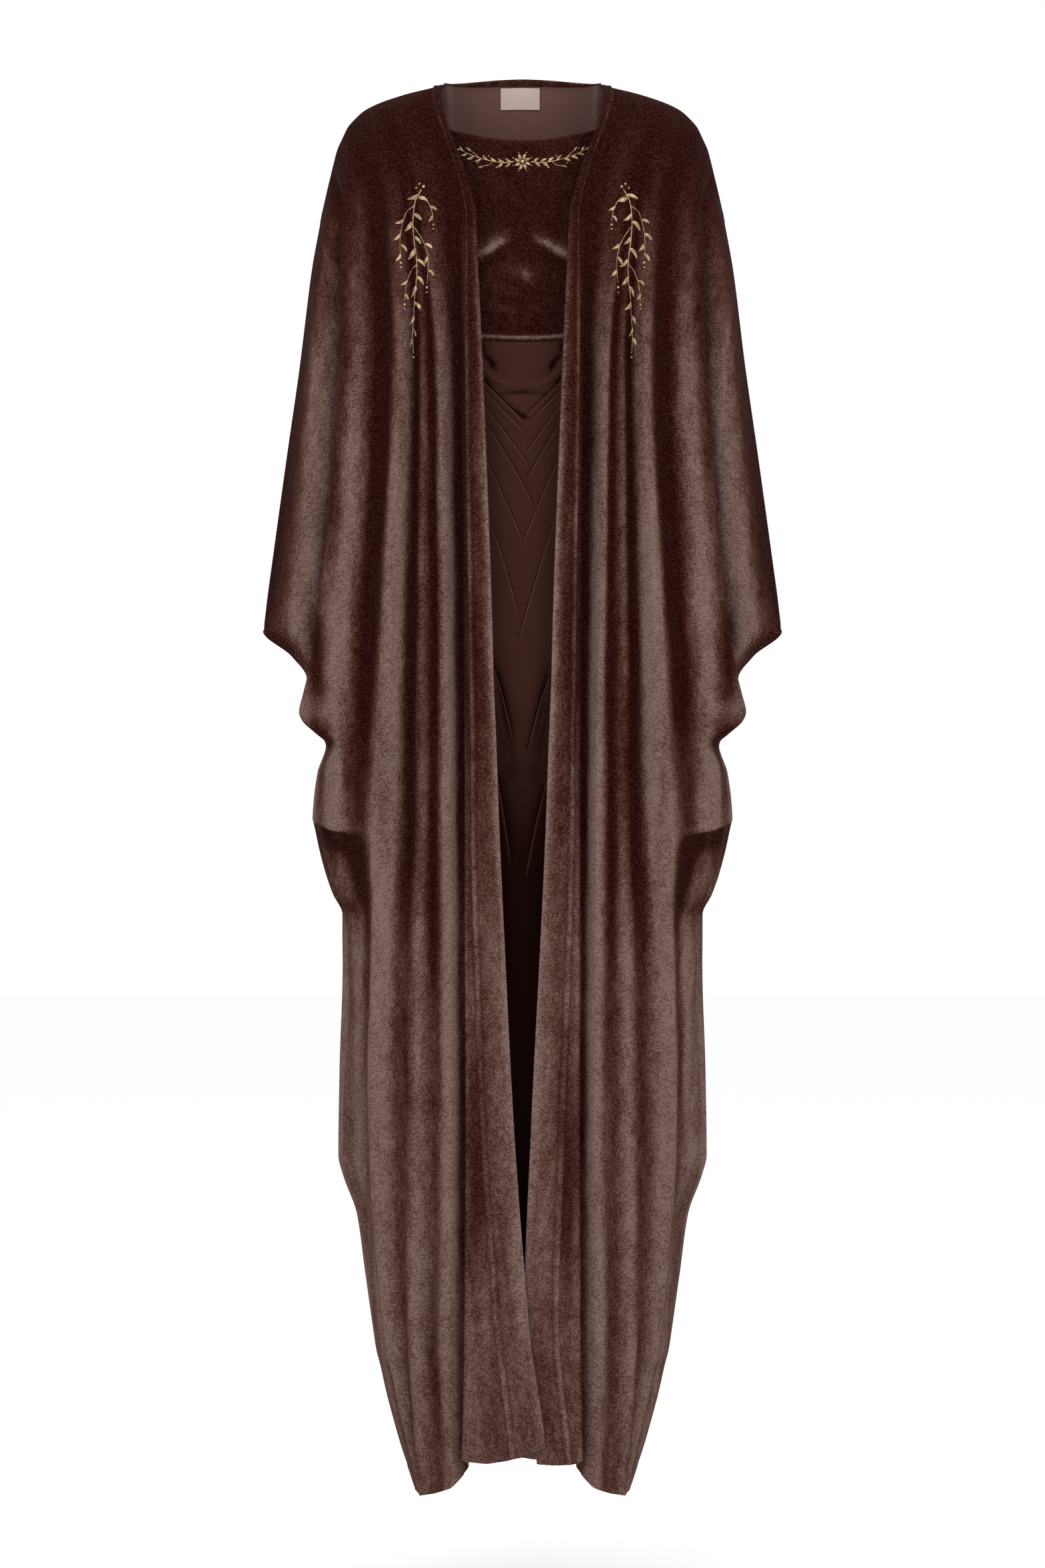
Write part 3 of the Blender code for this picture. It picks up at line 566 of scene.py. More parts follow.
def velvetFinish(name, look, shade=1.0):
    finish = Finish(name, {
        "Roughness": 0.9,
        "Specular IOR Level": 0.01,
        "Sheen Weight": 0.05,
        "Sheen Roughness": 0.3,
        "Sheen Tint": (0.85, 0.50, 0.43, 1),
    })
    bumps, chance, _ = knitBumps(finish, look)
    paintedLightAndNap = finish.paintedLightAndNap()
    unsure = paintedLightAndNap * (paintedLightAndNap * -1 + look["unsure"][0]) + look["unsure"][1]
    # the painted light and shade of the folds, turned by the crushed pile's noise
    paintedLightAndLay = paintedLightAndNap * look["paintedLightAndNap"]
    for settings, most, least in look["noises"].values():
        noise = finish.clothNoise(*settings)
        paintedLightAndLay = paintedLightAndLay + (noise - 0.5) * (unsure * most + least)
    # painted highlight on each stitch's top and painted shade in its gaps, then a chance tone for each stitch
    for number, (most, least) in ((bumps, look["stitches"]), (chance, look["chance"])):
        paintedLightAndLay = paintedLightAndLay + (number - 0.5) * (paintedLightAndNap * most + least)
    spark = chance * chance * bumps.between(look["glintTop"], 1.0) * look["glintShare"]
    colour = finish.mix(spark, finish.ramp(paintedLightAndLay, look["tones"]), look["glint"])
    # a paler copy is multiplied here, as painted light
    finish.set("Base Color", finish.mix(1.0, colour, (shade, shade, shade), "MULTIPLY"))
    grain = finish.clothNoise(*look["noises"]["grain"][0])
    finish.relief(*look["relief"], bumps + grain * look["grainRelief"])
    return finish.material


def wrongSideFinish(look, knit):
    # the inside of the velvet: its flat knitted ground
    finish = Finish("velvetInside", {"Roughness": 0.9, "Specular IOR Level": 0.05, "Sheen Weight": 0.1})
    bumps, _, across = knitBumps(finish, knit)
    ribs = (across * (2 * np.pi)).cosine() * 0.5 + 0.5
    share = ribs * look["ribShare"] + finish.clothNoise(*look["cloud"]) * look["cloudShare"]
    finish.set("Base Color", finish.mix(share, look["dark"], look["pale"]))
    finish.relief(*look["relief"], ribs + bumps * look["ribShare"])
    return finish.material


def satinFinish(look):
    # the tone is painted shade under 0.5, in the pleats' corners and low down, and painted highlight above it
    settings = {"Roughness": 0.42, "Specular IOR Level": 0.07, "Specular Tint": (0.9, 0.42, 0.34, 1)}
    finish = Finish("satin", settings)
    tone = finish.paintedLightAndNap()
    cloud = finish.clothNoise(*look["cloud"])
    share = tone.between(*look["paleSpan"]) + (cloud - 0.5) * look["cloudShare"]
    paler = finish.mix(share, look["mid"], look["pale"])
    deep = (tone * -1 + look["paleSpan"][0]).between(*look["darkSpan"])
    finish.set("Base Color", finish.mix(deep, paler, look["dark"]))
    finish.set("Roughness", cloud * look["roughness"][0] + look["roughness"][1])
    finish.relief(*look["relief"], finish.clothNoise(*look["threads"]))
    return finish.material


def labelFinish(look):
    finish = Finish("wovenLabel", {"Roughness": 0.5, "Specular IOR Level": 0.3, "Sheen Weight": 0.2})
    bumps, _, _ = knitBumps(finish, look)
    share = (bumps + finish.clothNoise(*look["cloud"])) * look["share"]
    finish.set("Base Color", finish.mix(share, look["dark"], look["pale"]))
    finish.relief(*look["relief"], bumps)
    return finish.material


def threadFinish(name, look):
    sizes = threadLook
    finish = Finish(name, {"Roughness": look["roughness"], "Specular IOR Level": 0.25, "Sheen Weight": 0.1})
    place = finish.node("ShaderNodeTexCoord", out=3)
    patch = finish.noise(place, sizes["patch"]).between(*sizes["patchSpan"])
    finish.set("Base Color", finish.mix(patch, look["dark"], look["pale"]))
    finish.relief(*sizes["relief"], finish.noise(place, sizes["strand"]))
    return finish.material


def selectOnly(items):
    for item in bpy.context.selected_objects:
        item.select_set(False)
    for item in reversed(items):
        item.select_set(True)
        bpy.context.view_layer.objects.active = item


def added(operator, name=None, **options):
    # what an operator adds, with nothing else selected
    selectOnly([])
    operator(**options)
    item = bpy.context.active_object
    item.name = name or item.name
    return item


# the left pieces' flat coordinates start elsewhere, so that their pile doesn't mirror the right ones'
clothSizes = {"leftStart": 611, "smoothAngle": 50}


def finishPiece(piece, finishes, wall, flat, paintedLightAndNap=None):
    # a cloth piece is given its flat coordinates and its finishes, and thickened to its wall
    mesh = piece.data
    mesh.name = piece.name
    if not mesh.uv_layers:
        mesh.uv_layers.new(name="cloth")
    layer = mesh.uv_layers[0]
    layer.name = "cloth"
    corners = np.empty(len(mesh.loops), int)
    mesh.loops.foreach_get("vertex_index", corners)
    start = (clothSizes["leftStart"] * piece.name.startswith("left"), 0)
    layer.uv.foreach_set("vector", ((flat.reshape(-1, 2)[corners] + start) * mm).ravel())
    # stores the painted light and shade, with the velvet pile's paleness, on the points
    if paintedLightAndNap is not None:
        values = np.clip(paintedLightAndNap, 0, 1).ravel().astype(np.float32)
        mesh.attributes.new("paintedLightAndNap", "FLOAT", "POINT").data.foreach_set("value", values)
    for finish in finishes:
        mesh.materials.append(finish)
    solidify = piece.modifiers.new("wall", "SOLIDIFY")
    solidify.thickness = wall * mm
    solidify.offset = 0
    solidify.use_quality_normals = True
    solidify.material_offset = len(finishes) - 1
    bpy.ops.object.modifier_apply(modifier=solidify.name)
    bpy.ops.object.shade_smooth_by_angle(angle=np.radians(clothSizes["smoothAngle"]))


def gridPiece(name, points, finishes, wall, flat, paintedLightAndNap=None):
    # a grid is laid over the points
    rows, columns = points.shape[:2]
    grid = bpy.ops.mesh.primitive_grid_add
    piece = added(grid, name, x_subdivisions=columns - 1, y_subdivisions=rows - 1, size=1)
    mesh = piece.data
    mesh.vertices.foreach_set("co", (points * mm).ravel())
    mesh.update()
    middle = mesh.polygons[(rows // 2) * (columns - 1) + columns // 2]
    if Vector(normalsOf(points)[rows // 2, columns // 2]).dot(middle.normal) < 0:
        mesh.flip_normals()
    finishPiece(piece, finishes, wall, flat, paintedLightAndNap)
    return points, flat, piece


def blurred(values, rowSpread, columnSpread):
    # a soft average over neighbouring rows and columns
    for axis, spread in ((0, rowSpread), (1, columnSpread)):
        reach = int(3 * spread)
        weights = np.exp(-0.5 * (np.arange(-reach, reach + 1) / spread) ** 2)
        weights = weights / weights.sum()
        pads = [(0, 0)] * values.ndim
        pads[axis] = (reach, reach)
        wide = np.pad(values, pads, mode="edge")
        count = values.shape[axis]
        shifted = [np.take(wide, range(k, k + count), axis=axis) for k in range(len(weights))]
        values = sum(weight * part for weight, part in zip(weights, shifted))
    return values


def flatCoordinates(points):
    # how far each point lies across and down the cloth, measured along it
    across = np.cumsum(norms(np.diff(points, axis=1)), axis=1)
    across = np.concatenate([np.zeros((len(points), 1)), across], axis=1)
    down = np.cumsum(norms(np.diff(points, axis=0)), axis=0)
    down = np.concatenate([np.zeros((1, points.shape[1])), down], axis=0)
    return np.stack([across, down], axis=2)


def seenFrom(points):
    # the places across and down of points on the cloth, as seen from in front
    return points[..., 0], -points[..., 2]


def lineDistance(across, drops, path):
    # distance from a bent line on the seen side of the cloth, the place along it from 0 to 1, and the side
    spot = np.stack([across, drops], axis=-1)
    ends = np.array(path, float).reshape(-1, 2)
    lengths = lengthsAlong(ends)
    best = np.full(across.shape, np.inf)
    place = np.zeros(across.shape)
    side = np.zeros(across.shape)
    for k in range(len(ends) - 1):
        step = ends[k + 1] - ends[k]
        t = np.clip(((spot - ends[k]) @ step) / (step @ step), 0, 1)
        away = spot - ends[k] - t[..., None] * step
        distance = norms(away)
        nearer = distance < best
        best = np.where(nearer, distance, best)
        place = np.where(nearer, (lengths[k] + t * (lengths[k + 1] - lengths[k])) / lengths[-1], place)
        side = np.where(nearer, np.sign(step[0] * away[..., 1] - step[1] * away[..., 0]), side)
    return best, place, side


def stroke(spots, path, width, ends, power=1.0):
    # 1 along the middle of a bent line, fading over its width, and towards both ends
    distance, place, _ = lineDistance(*spots, path)
    return bell(distance, width) * np.sin(np.pi * np.clip(place, ends, 1 - ends)) ** power


# how near their ends creases start to fade, as a share of their length, and how slowly
creaseEnds = (0.02, 0.6)


def pressed(points, creases):
    # how far the cloth moves for creases, each a bent line with its height and width
    lift = np.zeros(points.shape[:2])
    for path, height, width in creases:
        lift += height * stroke(seenFrom(points), path, width, *creaseEnds)
    return normalsOf(points) * lift[..., None]


paintedLightAndNapLook = {
    # painted light and shade of each fold, pale on ridges and dark in valleys, from the front edge or back
    # centre to the crease of the sleeve
    "front": (1.0, 0.42, 0.32, 0.34, 0.40, 0.05, 0.0, 0.92, 0.28, 0.45, 0.05, 1.0, 0.05, 0.86, 0.08, 0.7),
    "back": (0.45, 0.1, 0.8, 0.15, 1.0, 0.0, 0.7, 0.15, 0.86, 0.08, 0.7),
    # the sleeve and the side: the painted paleness of the ridge before the seam and of the seam itself, dark
    # in the painted shadow under the upper overhang
    "sideDrop": (0, 150, 560, 600, 690, 765, 782, 796, 850, 890, 960, 1060, 1110, 1250, 1487),
    "ridge": (0.3, 0.80, 0.88, 0.80, 0.95, 0.95, 0.70, -0.1, 0.0, 0.30, 0.65, 0.75, 0.90, 0.60, 0.30),
    "seam": (0.0, 0.02, 0.0, 0.35, 0.90, 1.00, 0.70, -0.1, 0.0, 0.10, 0.0, 0.50, 0.85, 0.45, 0.0),
    # its darkest and palest down the cloth
    "drop": (0, 60, 120, 200, 300, 450, 600, 800, 950, 1100, 1300, 1487),
    "low": (0.0, 0.0, 0.02, 0.05, 0.08, 0.12, 0.16, 0.26, 0.46, 0.53, 0.53, 0.48),
    "high": (0.02, 0.05, 0.12, 0.38, 0.66, 0.84, 0.94, 0.97, 0.97, 0.92, 0.88, 0.76),
    "sharp": 1.9,          # how narrow the painted highlight of a fold is, and how much more so outside than inside
    "lean": 0.9,
    "steep": 2,
    "turn": 0.55,          # how much paler, as painted light, where the cloth turns to the middle
    "tilt": 0.9,           # and up, as painted light from above
    "height": 0.10,        # and for each millimetre that a crease stands out, as a painted highlight
    "broad": (14, 12),     # the rows and columns over which the form and its creases are told apart
    "near": (4, 4),
    "wave": {"front": 0.10, "back": 0.30},   # how far it comes and goes along each fold
    "waves": ((83, 1.9), (41, 0.7)),   # in two waves: their length down, and their turn from fold to fold
    "span": (-0.25, 1.1),  # between these it counts, as a share of the way from darkest to palest
    # darker patches, where the cloth is crushed and as painted shadow under the sleeve's overhangs: the path
    # across and down in turn, strength, half width
    "blots": (
        ((50, 1000, 50, 1110, 47, 1180, 49, 1290), 0.48, 13),
        ((50, 520, 49, 640, 47, 760), 0.25, 7),
        ((86, 460, 84, 620, 82, 730), 0.16, 5),
        ((222, 540, 216, 600, 212, 690), 0.60, 10),
        ((216, 800, 200, 812, 180, 836, 168, 890), 0.50, 17),
        ((224, 797, 204, 804, 186, 810, 170, 814), 0.60, 10),
        ((150, 640, 146, 760, 140, 850), 0.34, 9),
        ((112, 560, 108, 680, 112, 860, 118, 900), 0.36, 8),
        ((92, 740, 94, 850, 90, 980), 0.22, 6),
        ((200, 1330, 186, 1350, 170, 1362), 0.40, 9),
        ((176, 1440, 150, 1455, 120, 1462), 0.22, 12),
    ),
    "blotEnds": (0.06, 0.7),
    # a patch that starts this far out, a painted shadow under an overhang, doesn't reach above its start:
    # from how far, and over how much
    "edgeBlots": {"from": 214, "above": 14, "over": 8},
}


def paintedLightAndNapOf(points, rows, columns, face):
    # painted light and shade from the folds and from the way the cloth turns, with the pile's crushed patches
    # and painted shadows under the overhangs
    look = paintedLightAndNapLook
    table = np.repeat([look[face] + (0, 0)], len(rows), axis=0).astype(float)
    table[:, -2] = np.interp(rows, look["sideDrop"], look["ridge"])
    table[:, -1] = np.interp(rows, look["sideDrop"], look["seam"])
    folds = np.array([smooth(columns, np.arange(len(row)), row) for row in table])
    steepness = np.gradient(folds, columns, axis=1)
    folds = np.clip(folds, 0, 1) ** (look["sharp"] - look["lean"] * np.tanh(look["steep"] * steepness))
    normals = normalsOf(points)
    broad = unit(blurred(normals, *look["broad"]))
    before, aside = broad[..., 1], broad[..., 0]
    hand = np.sign(points[..., 0].sum())
    away = np.stack([np.abs(before), -aside * np.sign(before), 0 * aside], axis=2)
    away = away * hand / np.hypot(before, aside)[..., None]
    turn = -(normals * away).sum(axis=2)
    tilt = normals[..., 2] - broad[..., 2]
    height = ((points - blurred(points, *look["near"])) * broad).sum(axis=2)
    # painted light on pale folds, on cloth turned to the middle, on cloth turned up, and on raised creases
    share = folds + look["turn"] * turn + look["tilt"] * tilt + look["height"] * height
    down = rows[:, None]
    (long, longTurn), (short, shortTurn) = look["waves"]
    wave = np.sin(down / long + longTurn * columns + hand) * np.sin(down / short + shortTurn * columns)
    share = share + look["wave"][face] * wave
    low, high = [np.interp(down, look["drop"], look[name]) for name in ("low", "high")]
    paintedLightAndNap = low + (high - low) * np.clip(share, *look["span"])
    if face == "front":
        edge = look["edgeBlots"]
        across, drops = seenFrom(points)
        for path, strength, width in look["blots"]:
            blot = strength * stroke((np.abs(across), drops), path, width, *look["blotEnds"])
            if path[0] > edge["from"]:
                blot = blot * ease((down - path[1] + edge["above"]) / edge["over"])
            paintedLightAndNap -= blot
    return np.clip(paintedLightAndNap, 0, 1)


# creases pressed into the cloth: a path's places across and down in turn, its height and half width
creaseTable = {
    "front": (
        ((97, 300, 98, 420, 97, 560, 95, 700), 1.6, 5),
        ((101, 640, 103, 760, 105, 900), 1.3, 5),
        ((91, 300, 92, 460, 92, 640, 93, 860), -1.2, 3.5),
        ((126, 330, 131, 470, 133, 600), -0.9, 4),
        ((150, 250, 162, 400, 170, 520, 176, 600), 1.1, 6),
        ((186, 200, 192, 330, 205, 470, 214, 560), -1, 4.5),
        ((198, 330, 209, 450, 222, 560), 0.9, 5),
        ((140, 800, 136, 960, 129, 1120, 121, 1260), 1.3, 6),
        ((116, 1110, 112, 1240, 110, 1370, 108, 1470), 1.2, 5.5),
        ((84, 1180, 83, 1300, 80, 1420), 1.1, 5),
        ((72, 480, 70, 640, 69, 800), 0.9, 4),
        ((206, 596, 190, 640, 176, 690, 170, 760), 1.2, 7),
        ((222, 640, 205, 690, 190, 730, 178, 790), -1.1, 6),
        ((186, 905, 172, 950, 160, 1030, 152, 1120), 1, 6.5),
        ((66, 150, 60, 210, 57, 290), 0.7, 4.5),
        ((150, 44, 138, 90, 128, 140), 0.7, 7),
        ((182, 60, 170, 110, 164, 170), -0.7, 6),
    ),
    "back": (
        ((24, 250, 27, 420, 30, 600, 34, 820), 1.4, 6),
        ((56, 380, 60, 560, 62, 760), -1.2, 5),
        ((90, 200, 97, 380, 103, 560), 1.3, 6.5),
        ((128, 330, 137, 470, 142, 640), -1.1, 5),
        ((165, 250, 180, 400, 196, 540), 1.1, 6),
        ((205, 330, 214, 450, 226, 560), -0.9, 5),
        ((206, 596, 188, 650, 172, 720, 164, 800), 1.3, 7),
        ((220, 640, 202, 690, 186, 750), -1.1, 6),
        ((146, 860, 138, 1010, 126, 1180), 1.3, 6.5),
        ((112, 980, 108, 1140, 100, 1310, 96, 1450), 1.2, 6),
        ((70, 900, 73, 1080, 70, 1270), 1.2, 6),
        ((36, 1000, 38, 1190, 35, 1400), -1.2, 5.5),
        ((14, 1120, 15, 1290, 13, 1450), 1, 5),
        ((60, 30, 74, 90, 88, 150), 0.7, 7),
        ((140, 46, 136, 96, 128, 150), -0.7, 7),
    ),
}
panelSizes = {
    "spacing": 4.55,       # of the grid, across and down
    "seamDip": 0.9,        # how deep the cloth sinks into a seam, how far from it, and over what it starts
    "seamReach": 2.4,
    "seamStart": 16.0,
    "turnedHem": 19.0,     # depth of the turned hem, and how far its double layer stands out
    "turnedCuff": 14.0,
    "double": 0.45,
    "turnEdge": 2.0,       # over what that layer ends, and how far from the cuff's ends it starts
    "cuffClear": 1.0,
    "stitchDip": 0.35,
    "stitchReach": 1.3,
    "creaseFade": (8.0, 5.0, 8.0, 8.0),    # creases fade out at the side, the edge, the top and the hem
    "firstColumn": {"front": 2.02, "back": 0},
    "centreGap": 0.03,     # from the centre back seam to the middle
    "ends": (0, 1.0, 2.6),   # how far from its edges a grid has columns in any case
    "least": 1.3,          # and how near to them no others
    "rowEnds": (1.2, 2.8),
    "hemEnds": (2.6, 1, 0),
    "rowLeast": 0.7,
    "fineRows": ((570, 716), (770, 806)),
}
bandLook = {
    "spacing": 1.9,
    "columns": (0, 1.98),
    "ends": (0, 0.7, 1.5),
    "roll": 2.2,           # how far in from its seam the band's narrow raised edge lies
    "rollHeight": 0.9,
    "rollReach": 1.2,
    "rollPaintedHighlight": (0.22, 1.4),
    "seamReach": 0.9,
    "secondStitch": 7.0,   # the second line of stitches, from the seam
    "secondPaintedShade": 0.14,
    "secondStart": 5.0,
    "edge": 2.0,           # the folded front edge: how it rounds back
    "edgeTurn": 1.3,
    "wall": 2.2,
}


def withEnds(values, ends, least):
    # even values with the given ones among them, and none closer than the least
    kept = [value for value in values if min(abs(value - end) for end in ends) > least]
    return np.array(sorted(set(kept) | set(ends)))


def columnsAcross(face, lap, first, last, spacing, ends):
    dense = np.linspace(first, last, samples["panel"])
    plan = body(levels, dense, face, lap)
    along = np.concatenate([[0], np.cumsum(norms(np.diff(plan, axis=1)).max(axis=0))])
    full = along[-1]
    even = np.linspace(0, full, int(full / spacing) + 1)
    places = withEnds(even, list(ends) + [full - end for end in ends], panelSizes["least"])
    return np.interp(places, along, dense)


def rowsDown():
    sizes = panelSizes
    spacing, top, hem = sizes["spacing"], garment["yokeDrop"], garment["hemDrop"]
    even = list(np.arange(0, top, spacing)) + list(np.linspace(top, hem, int((hem - top) / spacing)))
    for start, end in sizes["fineRows"]:
        even += list(np.arange(start, end, spacing / 2))
    ends = [0, *sizes["rowEnds"], garment["cuffTop"], garment["cuffFoot"]]
    ends += [hem - end for end in sizes["hemEnds"]]
    rows = withEnds(even, ends, sizes["least"])
    keep = np.concatenate([[True], np.diff(rows) > sizes["rowLeast"]])
    return rows[keep | np.isin(rows, ends)]


def sewnRows(rows):
    # True where the side is sewn, and false along the cuff, which is open
    return (rows < garment["cuffTop"]) | (rows > garment["cuffFoot"])


def onOwnSide(points, face):
    # the fronts stay before the line of the shoulder and side seams, and the backs behind it
    hand = -1 if face == "front" else 1
    before = hand * np.maximum(hand * points[..., 1], garment["seamGap"] / 2)
    return np.stack([points[..., 0], before, points[..., 2]], axis=2)


def finished(points, rows, face):
    # creases, seams that sink in, and the double layer of a turned hem and cuff
    sizes = panelSizes
    points = onOwnSide(points, face)
    outwards = normalsOf(points)
    outwards[sewnRows(rows), -1] = (1, 0, 0)
    flat = flatCoordinates(points)
    across, down = flat[..., 0], flat[..., 1]
    fromSide = across[:, -1:] - across
    fromHem = down[-1:] - down
    sewn = sewnRows(rows)[:, None]
    fromSeam = np.minimum(np.minimum(across, np.where(sewn, fromSide, np.inf)), down)
    lift = -sizes["seamDip"] * bell(fromSeam, sizes["seamReach"])
    lift = lift * ease((fromSide + down) / sizes["seamStart"])
    cuff = ~sewn & (rows > garment["cuffTop"] + sizes["cuffClear"])[:, None]
    turned = ((fromHem, sizes["turnedHem"], True), (fromSide, sizes["turnedCuff"], cuff))
    for distance, depth, where in turned:
        layer = sizes["double"] * ease((depth - distance) / sizes["turnEdge"] + 0.5)
        lift += where * (layer - sizes["stitchDip"] * bell(distance - depth, sizes["stitchReach"]))
    creased = pressed(points, creaseTable[face])
    for distance, fade in zip((fromSide, across, down, fromHem), sizes["creaseFade"]):
        creased = creased * ease(distance / fade)[..., None]
    return onOwnSide(points + creased + outwards * lift[..., None], face), flat


def mirroredTo(side, points):
    return points * (-1, 1, 1) if side == "right" else points


def panel(side, face, finishes):
    sizes = panelSizes
    rows = rowsDown()
    first = sizes["firstColumn"][face]
    columns = columnsAcross(face, side, first, columnsOf(face), sizes["spacing"], sizes["ends"])
    points, flat = finished(cloth(rows, columns, face, side), rows, face)
    if face == "back":
        points[:, 0, 0] = sizes["centreGap"]
    points = mirroredTo(side, points)
    name = side + face.capitalize() + "Panel"
    return gridPiece(name, points, finishes, garment["velvetWall"], flat, paintedLightAndNapOf(points, rows, columns, face))


def frontBand(side, finishes):
    # the doubled front edge, from its rounded fold to the seam with its narrow raised edge
    look = bandLook
    rows = rowsDown()
    columns = columnsAcross("front", side, *look["columns"], look["spacing"], look["ends"])
    points = cloth(rows, columns, "front", side)
    points[0, :, 1] = -garment["seamGap"] / 2
    outwards = normalsOf(points)
    flat = flatCoordinates(points)
    across = flat[..., 0]
    fromSeam = across[:, -1:] - across
    second = bell(fromSeam - look["secondStitch"], panelSizes["stitchReach"])
    second = second * ease(across / look["secondStart"])
    lift = look["rollHeight"] * bell(fromSeam - look["roll"], look["rollReach"])
    lift -= panelSizes["seamDip"] * bell(fromSeam, look["seamReach"])
    lift -= panelSizes["stitchDip"] * second + look["edgeTurn"] * bell(across, look["edge"])
    points = mirroredTo(side, points + outwards * lift[..., None])
    # painted highlight on the narrow raised edge, and painted shade along the second line of stitches
    rollPaintedHighlight, reach = look["rollPaintedHighlight"]
    paintedLightAndNap = paintedLightAndNapOf(points, rows, columns, "front") + rollPaintedHighlight * bell(fromSeam - look["roll"], reach)
    paintedLightAndNap -= look["secondPaintedShade"] * second
    return gridPiece(side + "FrontBand", points, finishes, look["wall"], flat, paintedLightAndNap)


# the inner front, inside the fronts: its hollow form and the half width of its cloth
innerTable = {
    "drop":  (60, 150, 220, 272, 400, 700, 1000, 1400),
    "form":  (178, 178, 178, 178, 176, 170, 160, 135),
    "depth": (64, 80, 91, 95, 95, 93, 90, 84),
    "cloth": (146, 146, 150, 150, 148, 140, 128, 100),
    "widestShare": 0.99,
}
bust = {"across": 66, "drop": 205, "radius": 52, "out": 4}
bodiceSizes = {
    "neck": {"across": (0, 24, 48, 77), "before": (69, 67, 58, 36), "drop": (72, 70.5, 65, 55)},
    "straps": (100, 112, 124, 136),
    "strapRow": 6,
    "strapGap": 0.75,
    "strapPull": 1.1,
    "highRows": 44,
    "shares": (0, 0.16, 0.32, 0.47, 0.62, 0.76, 0.89, 1),
    "slopes": {"share": (0, 0.32, 0.62, 1), "angle": (72, 66, 24, 18)},
    "empireDrop": 283.7,
    "sag": (2.2, 44.0),    # how much higher the empire seam runs aside, and from where
    "spacing": 2.6,
    "turn": {"depth": 7.0, "double": 0.4, "edge": 1.5, "dip": 0.3, "reach": 1.3},   # the turned neck edge
    "roll": {"from": 2.6, "height": 1.5, "reach": 1.7},    # the raised edge along the empire seam
    "gathers": {"height": 0.35, "wave": 0.31, "shift": 1.7, "slow": 0.083, "reach": 13.0, "start": 5.0},
    # painted light: a least paleness, a painted highlight on the raised edge at the empire seam, on raised
    # cloth and along the turned neck edge, and how the creases' painted highlights widen and end
    "paintedLightAndNap": {"least": 0.05, "roll": 0.95, "rollFrom": 2.2, "rollReach": 2.0,
            "height": 0.05, "edge": 0.18, "edgeReach": 2.2, "widen": 1.1, "ends": (0.03, 0.45)},
}
# short soft creases over the bust: a path, its height and half width, and its painted highlight, negative for
# painted shade
bodiceCreases = (
    ((-49, 199, -45.8, 194.5, -32, 186.8, -24, 181, -15, 177), 1.2, 3.4, 1),
    ((49, 199, 45.8, 194.5, 32, 186.8, 24, 181, 15, 177), 1.2, 3.4, 1),
    ((-52, 190, -30, 178, -14, 168), 0.6, 6, 0.22),
    ((52, 190, 30, 178, 14, 168), 0.6, 6, 0.22),
    ((-58, 210, -38, 205, -20, 198), -0.8, 4.5, -0.06),
    ((58, 210, 38, 205, 20, 198), -0.8, 4.5, -0.06),
    ((-2, 213, 4, 217, 8, 222), 0.9, 4, 0.30),
    ((-24, 206, -4, 212, 18, 220), 0.3, 9, 0.20),
    ((-34, 226, -20, 232, -8, 236), 0.3, 8, 0.14),
    ((-40, 243, -22, 251, -6, 254), 0.7, 4.5, 0.10),
    ((36, 239, 22, 249, 8, 255), 0.7, 4.5, 0.10),
    ((-26, 124, -8, 136, 10, 140), 0.6, 7, 0.05),
)


def readAt(place, places, points):
    # the point, or points, between the given ones
    return np.array([np.interp(place, places, points[:, k]) for k in range(3)])


def underFront(across, row, inwards):
    # a point under a front's yoke, moved in from its middle surface
    dense = np.linspace(0, columnsOf("front"), samples["strap"])
    points = cloth(np.array([row - 2, row, row + 2]), dense, "front")
    return readAt(across, points[1, :, 0], points[1] - normalsOf(points)[1] * inwards)


def innerForm(across, drops):
    power = garment["squareness"]
    form = readFrom(innerTable, "form", drops)
    depth = readFrom(innerTable, "depth", drops)
    share = np.minimum(np.abs(across) / form, innerTable["widestShare"])
    before = depth * (1 - share**power) ** (1 / power)
    away = np.hypot(np.abs(across) - bust["across"], drops - bust["drop"])
    return before + bust["out"] * bell(away, bust["radius"])


def whole(half):
    # a half grid, from the centre out, and its mirror image as one grid
    return np.concatenate([half[:, :0:-1] * (-1, 1, 1), half], axis=1)


def innerRows(across, drops):
    return np.stack([across, -innerForm(across, drops), -drops], axis=-1)


def seamRise(across):
    height, reach = bodiceSizes["sag"]
    return height * np.minimum(1, np.abs(across) / reach) ** 2


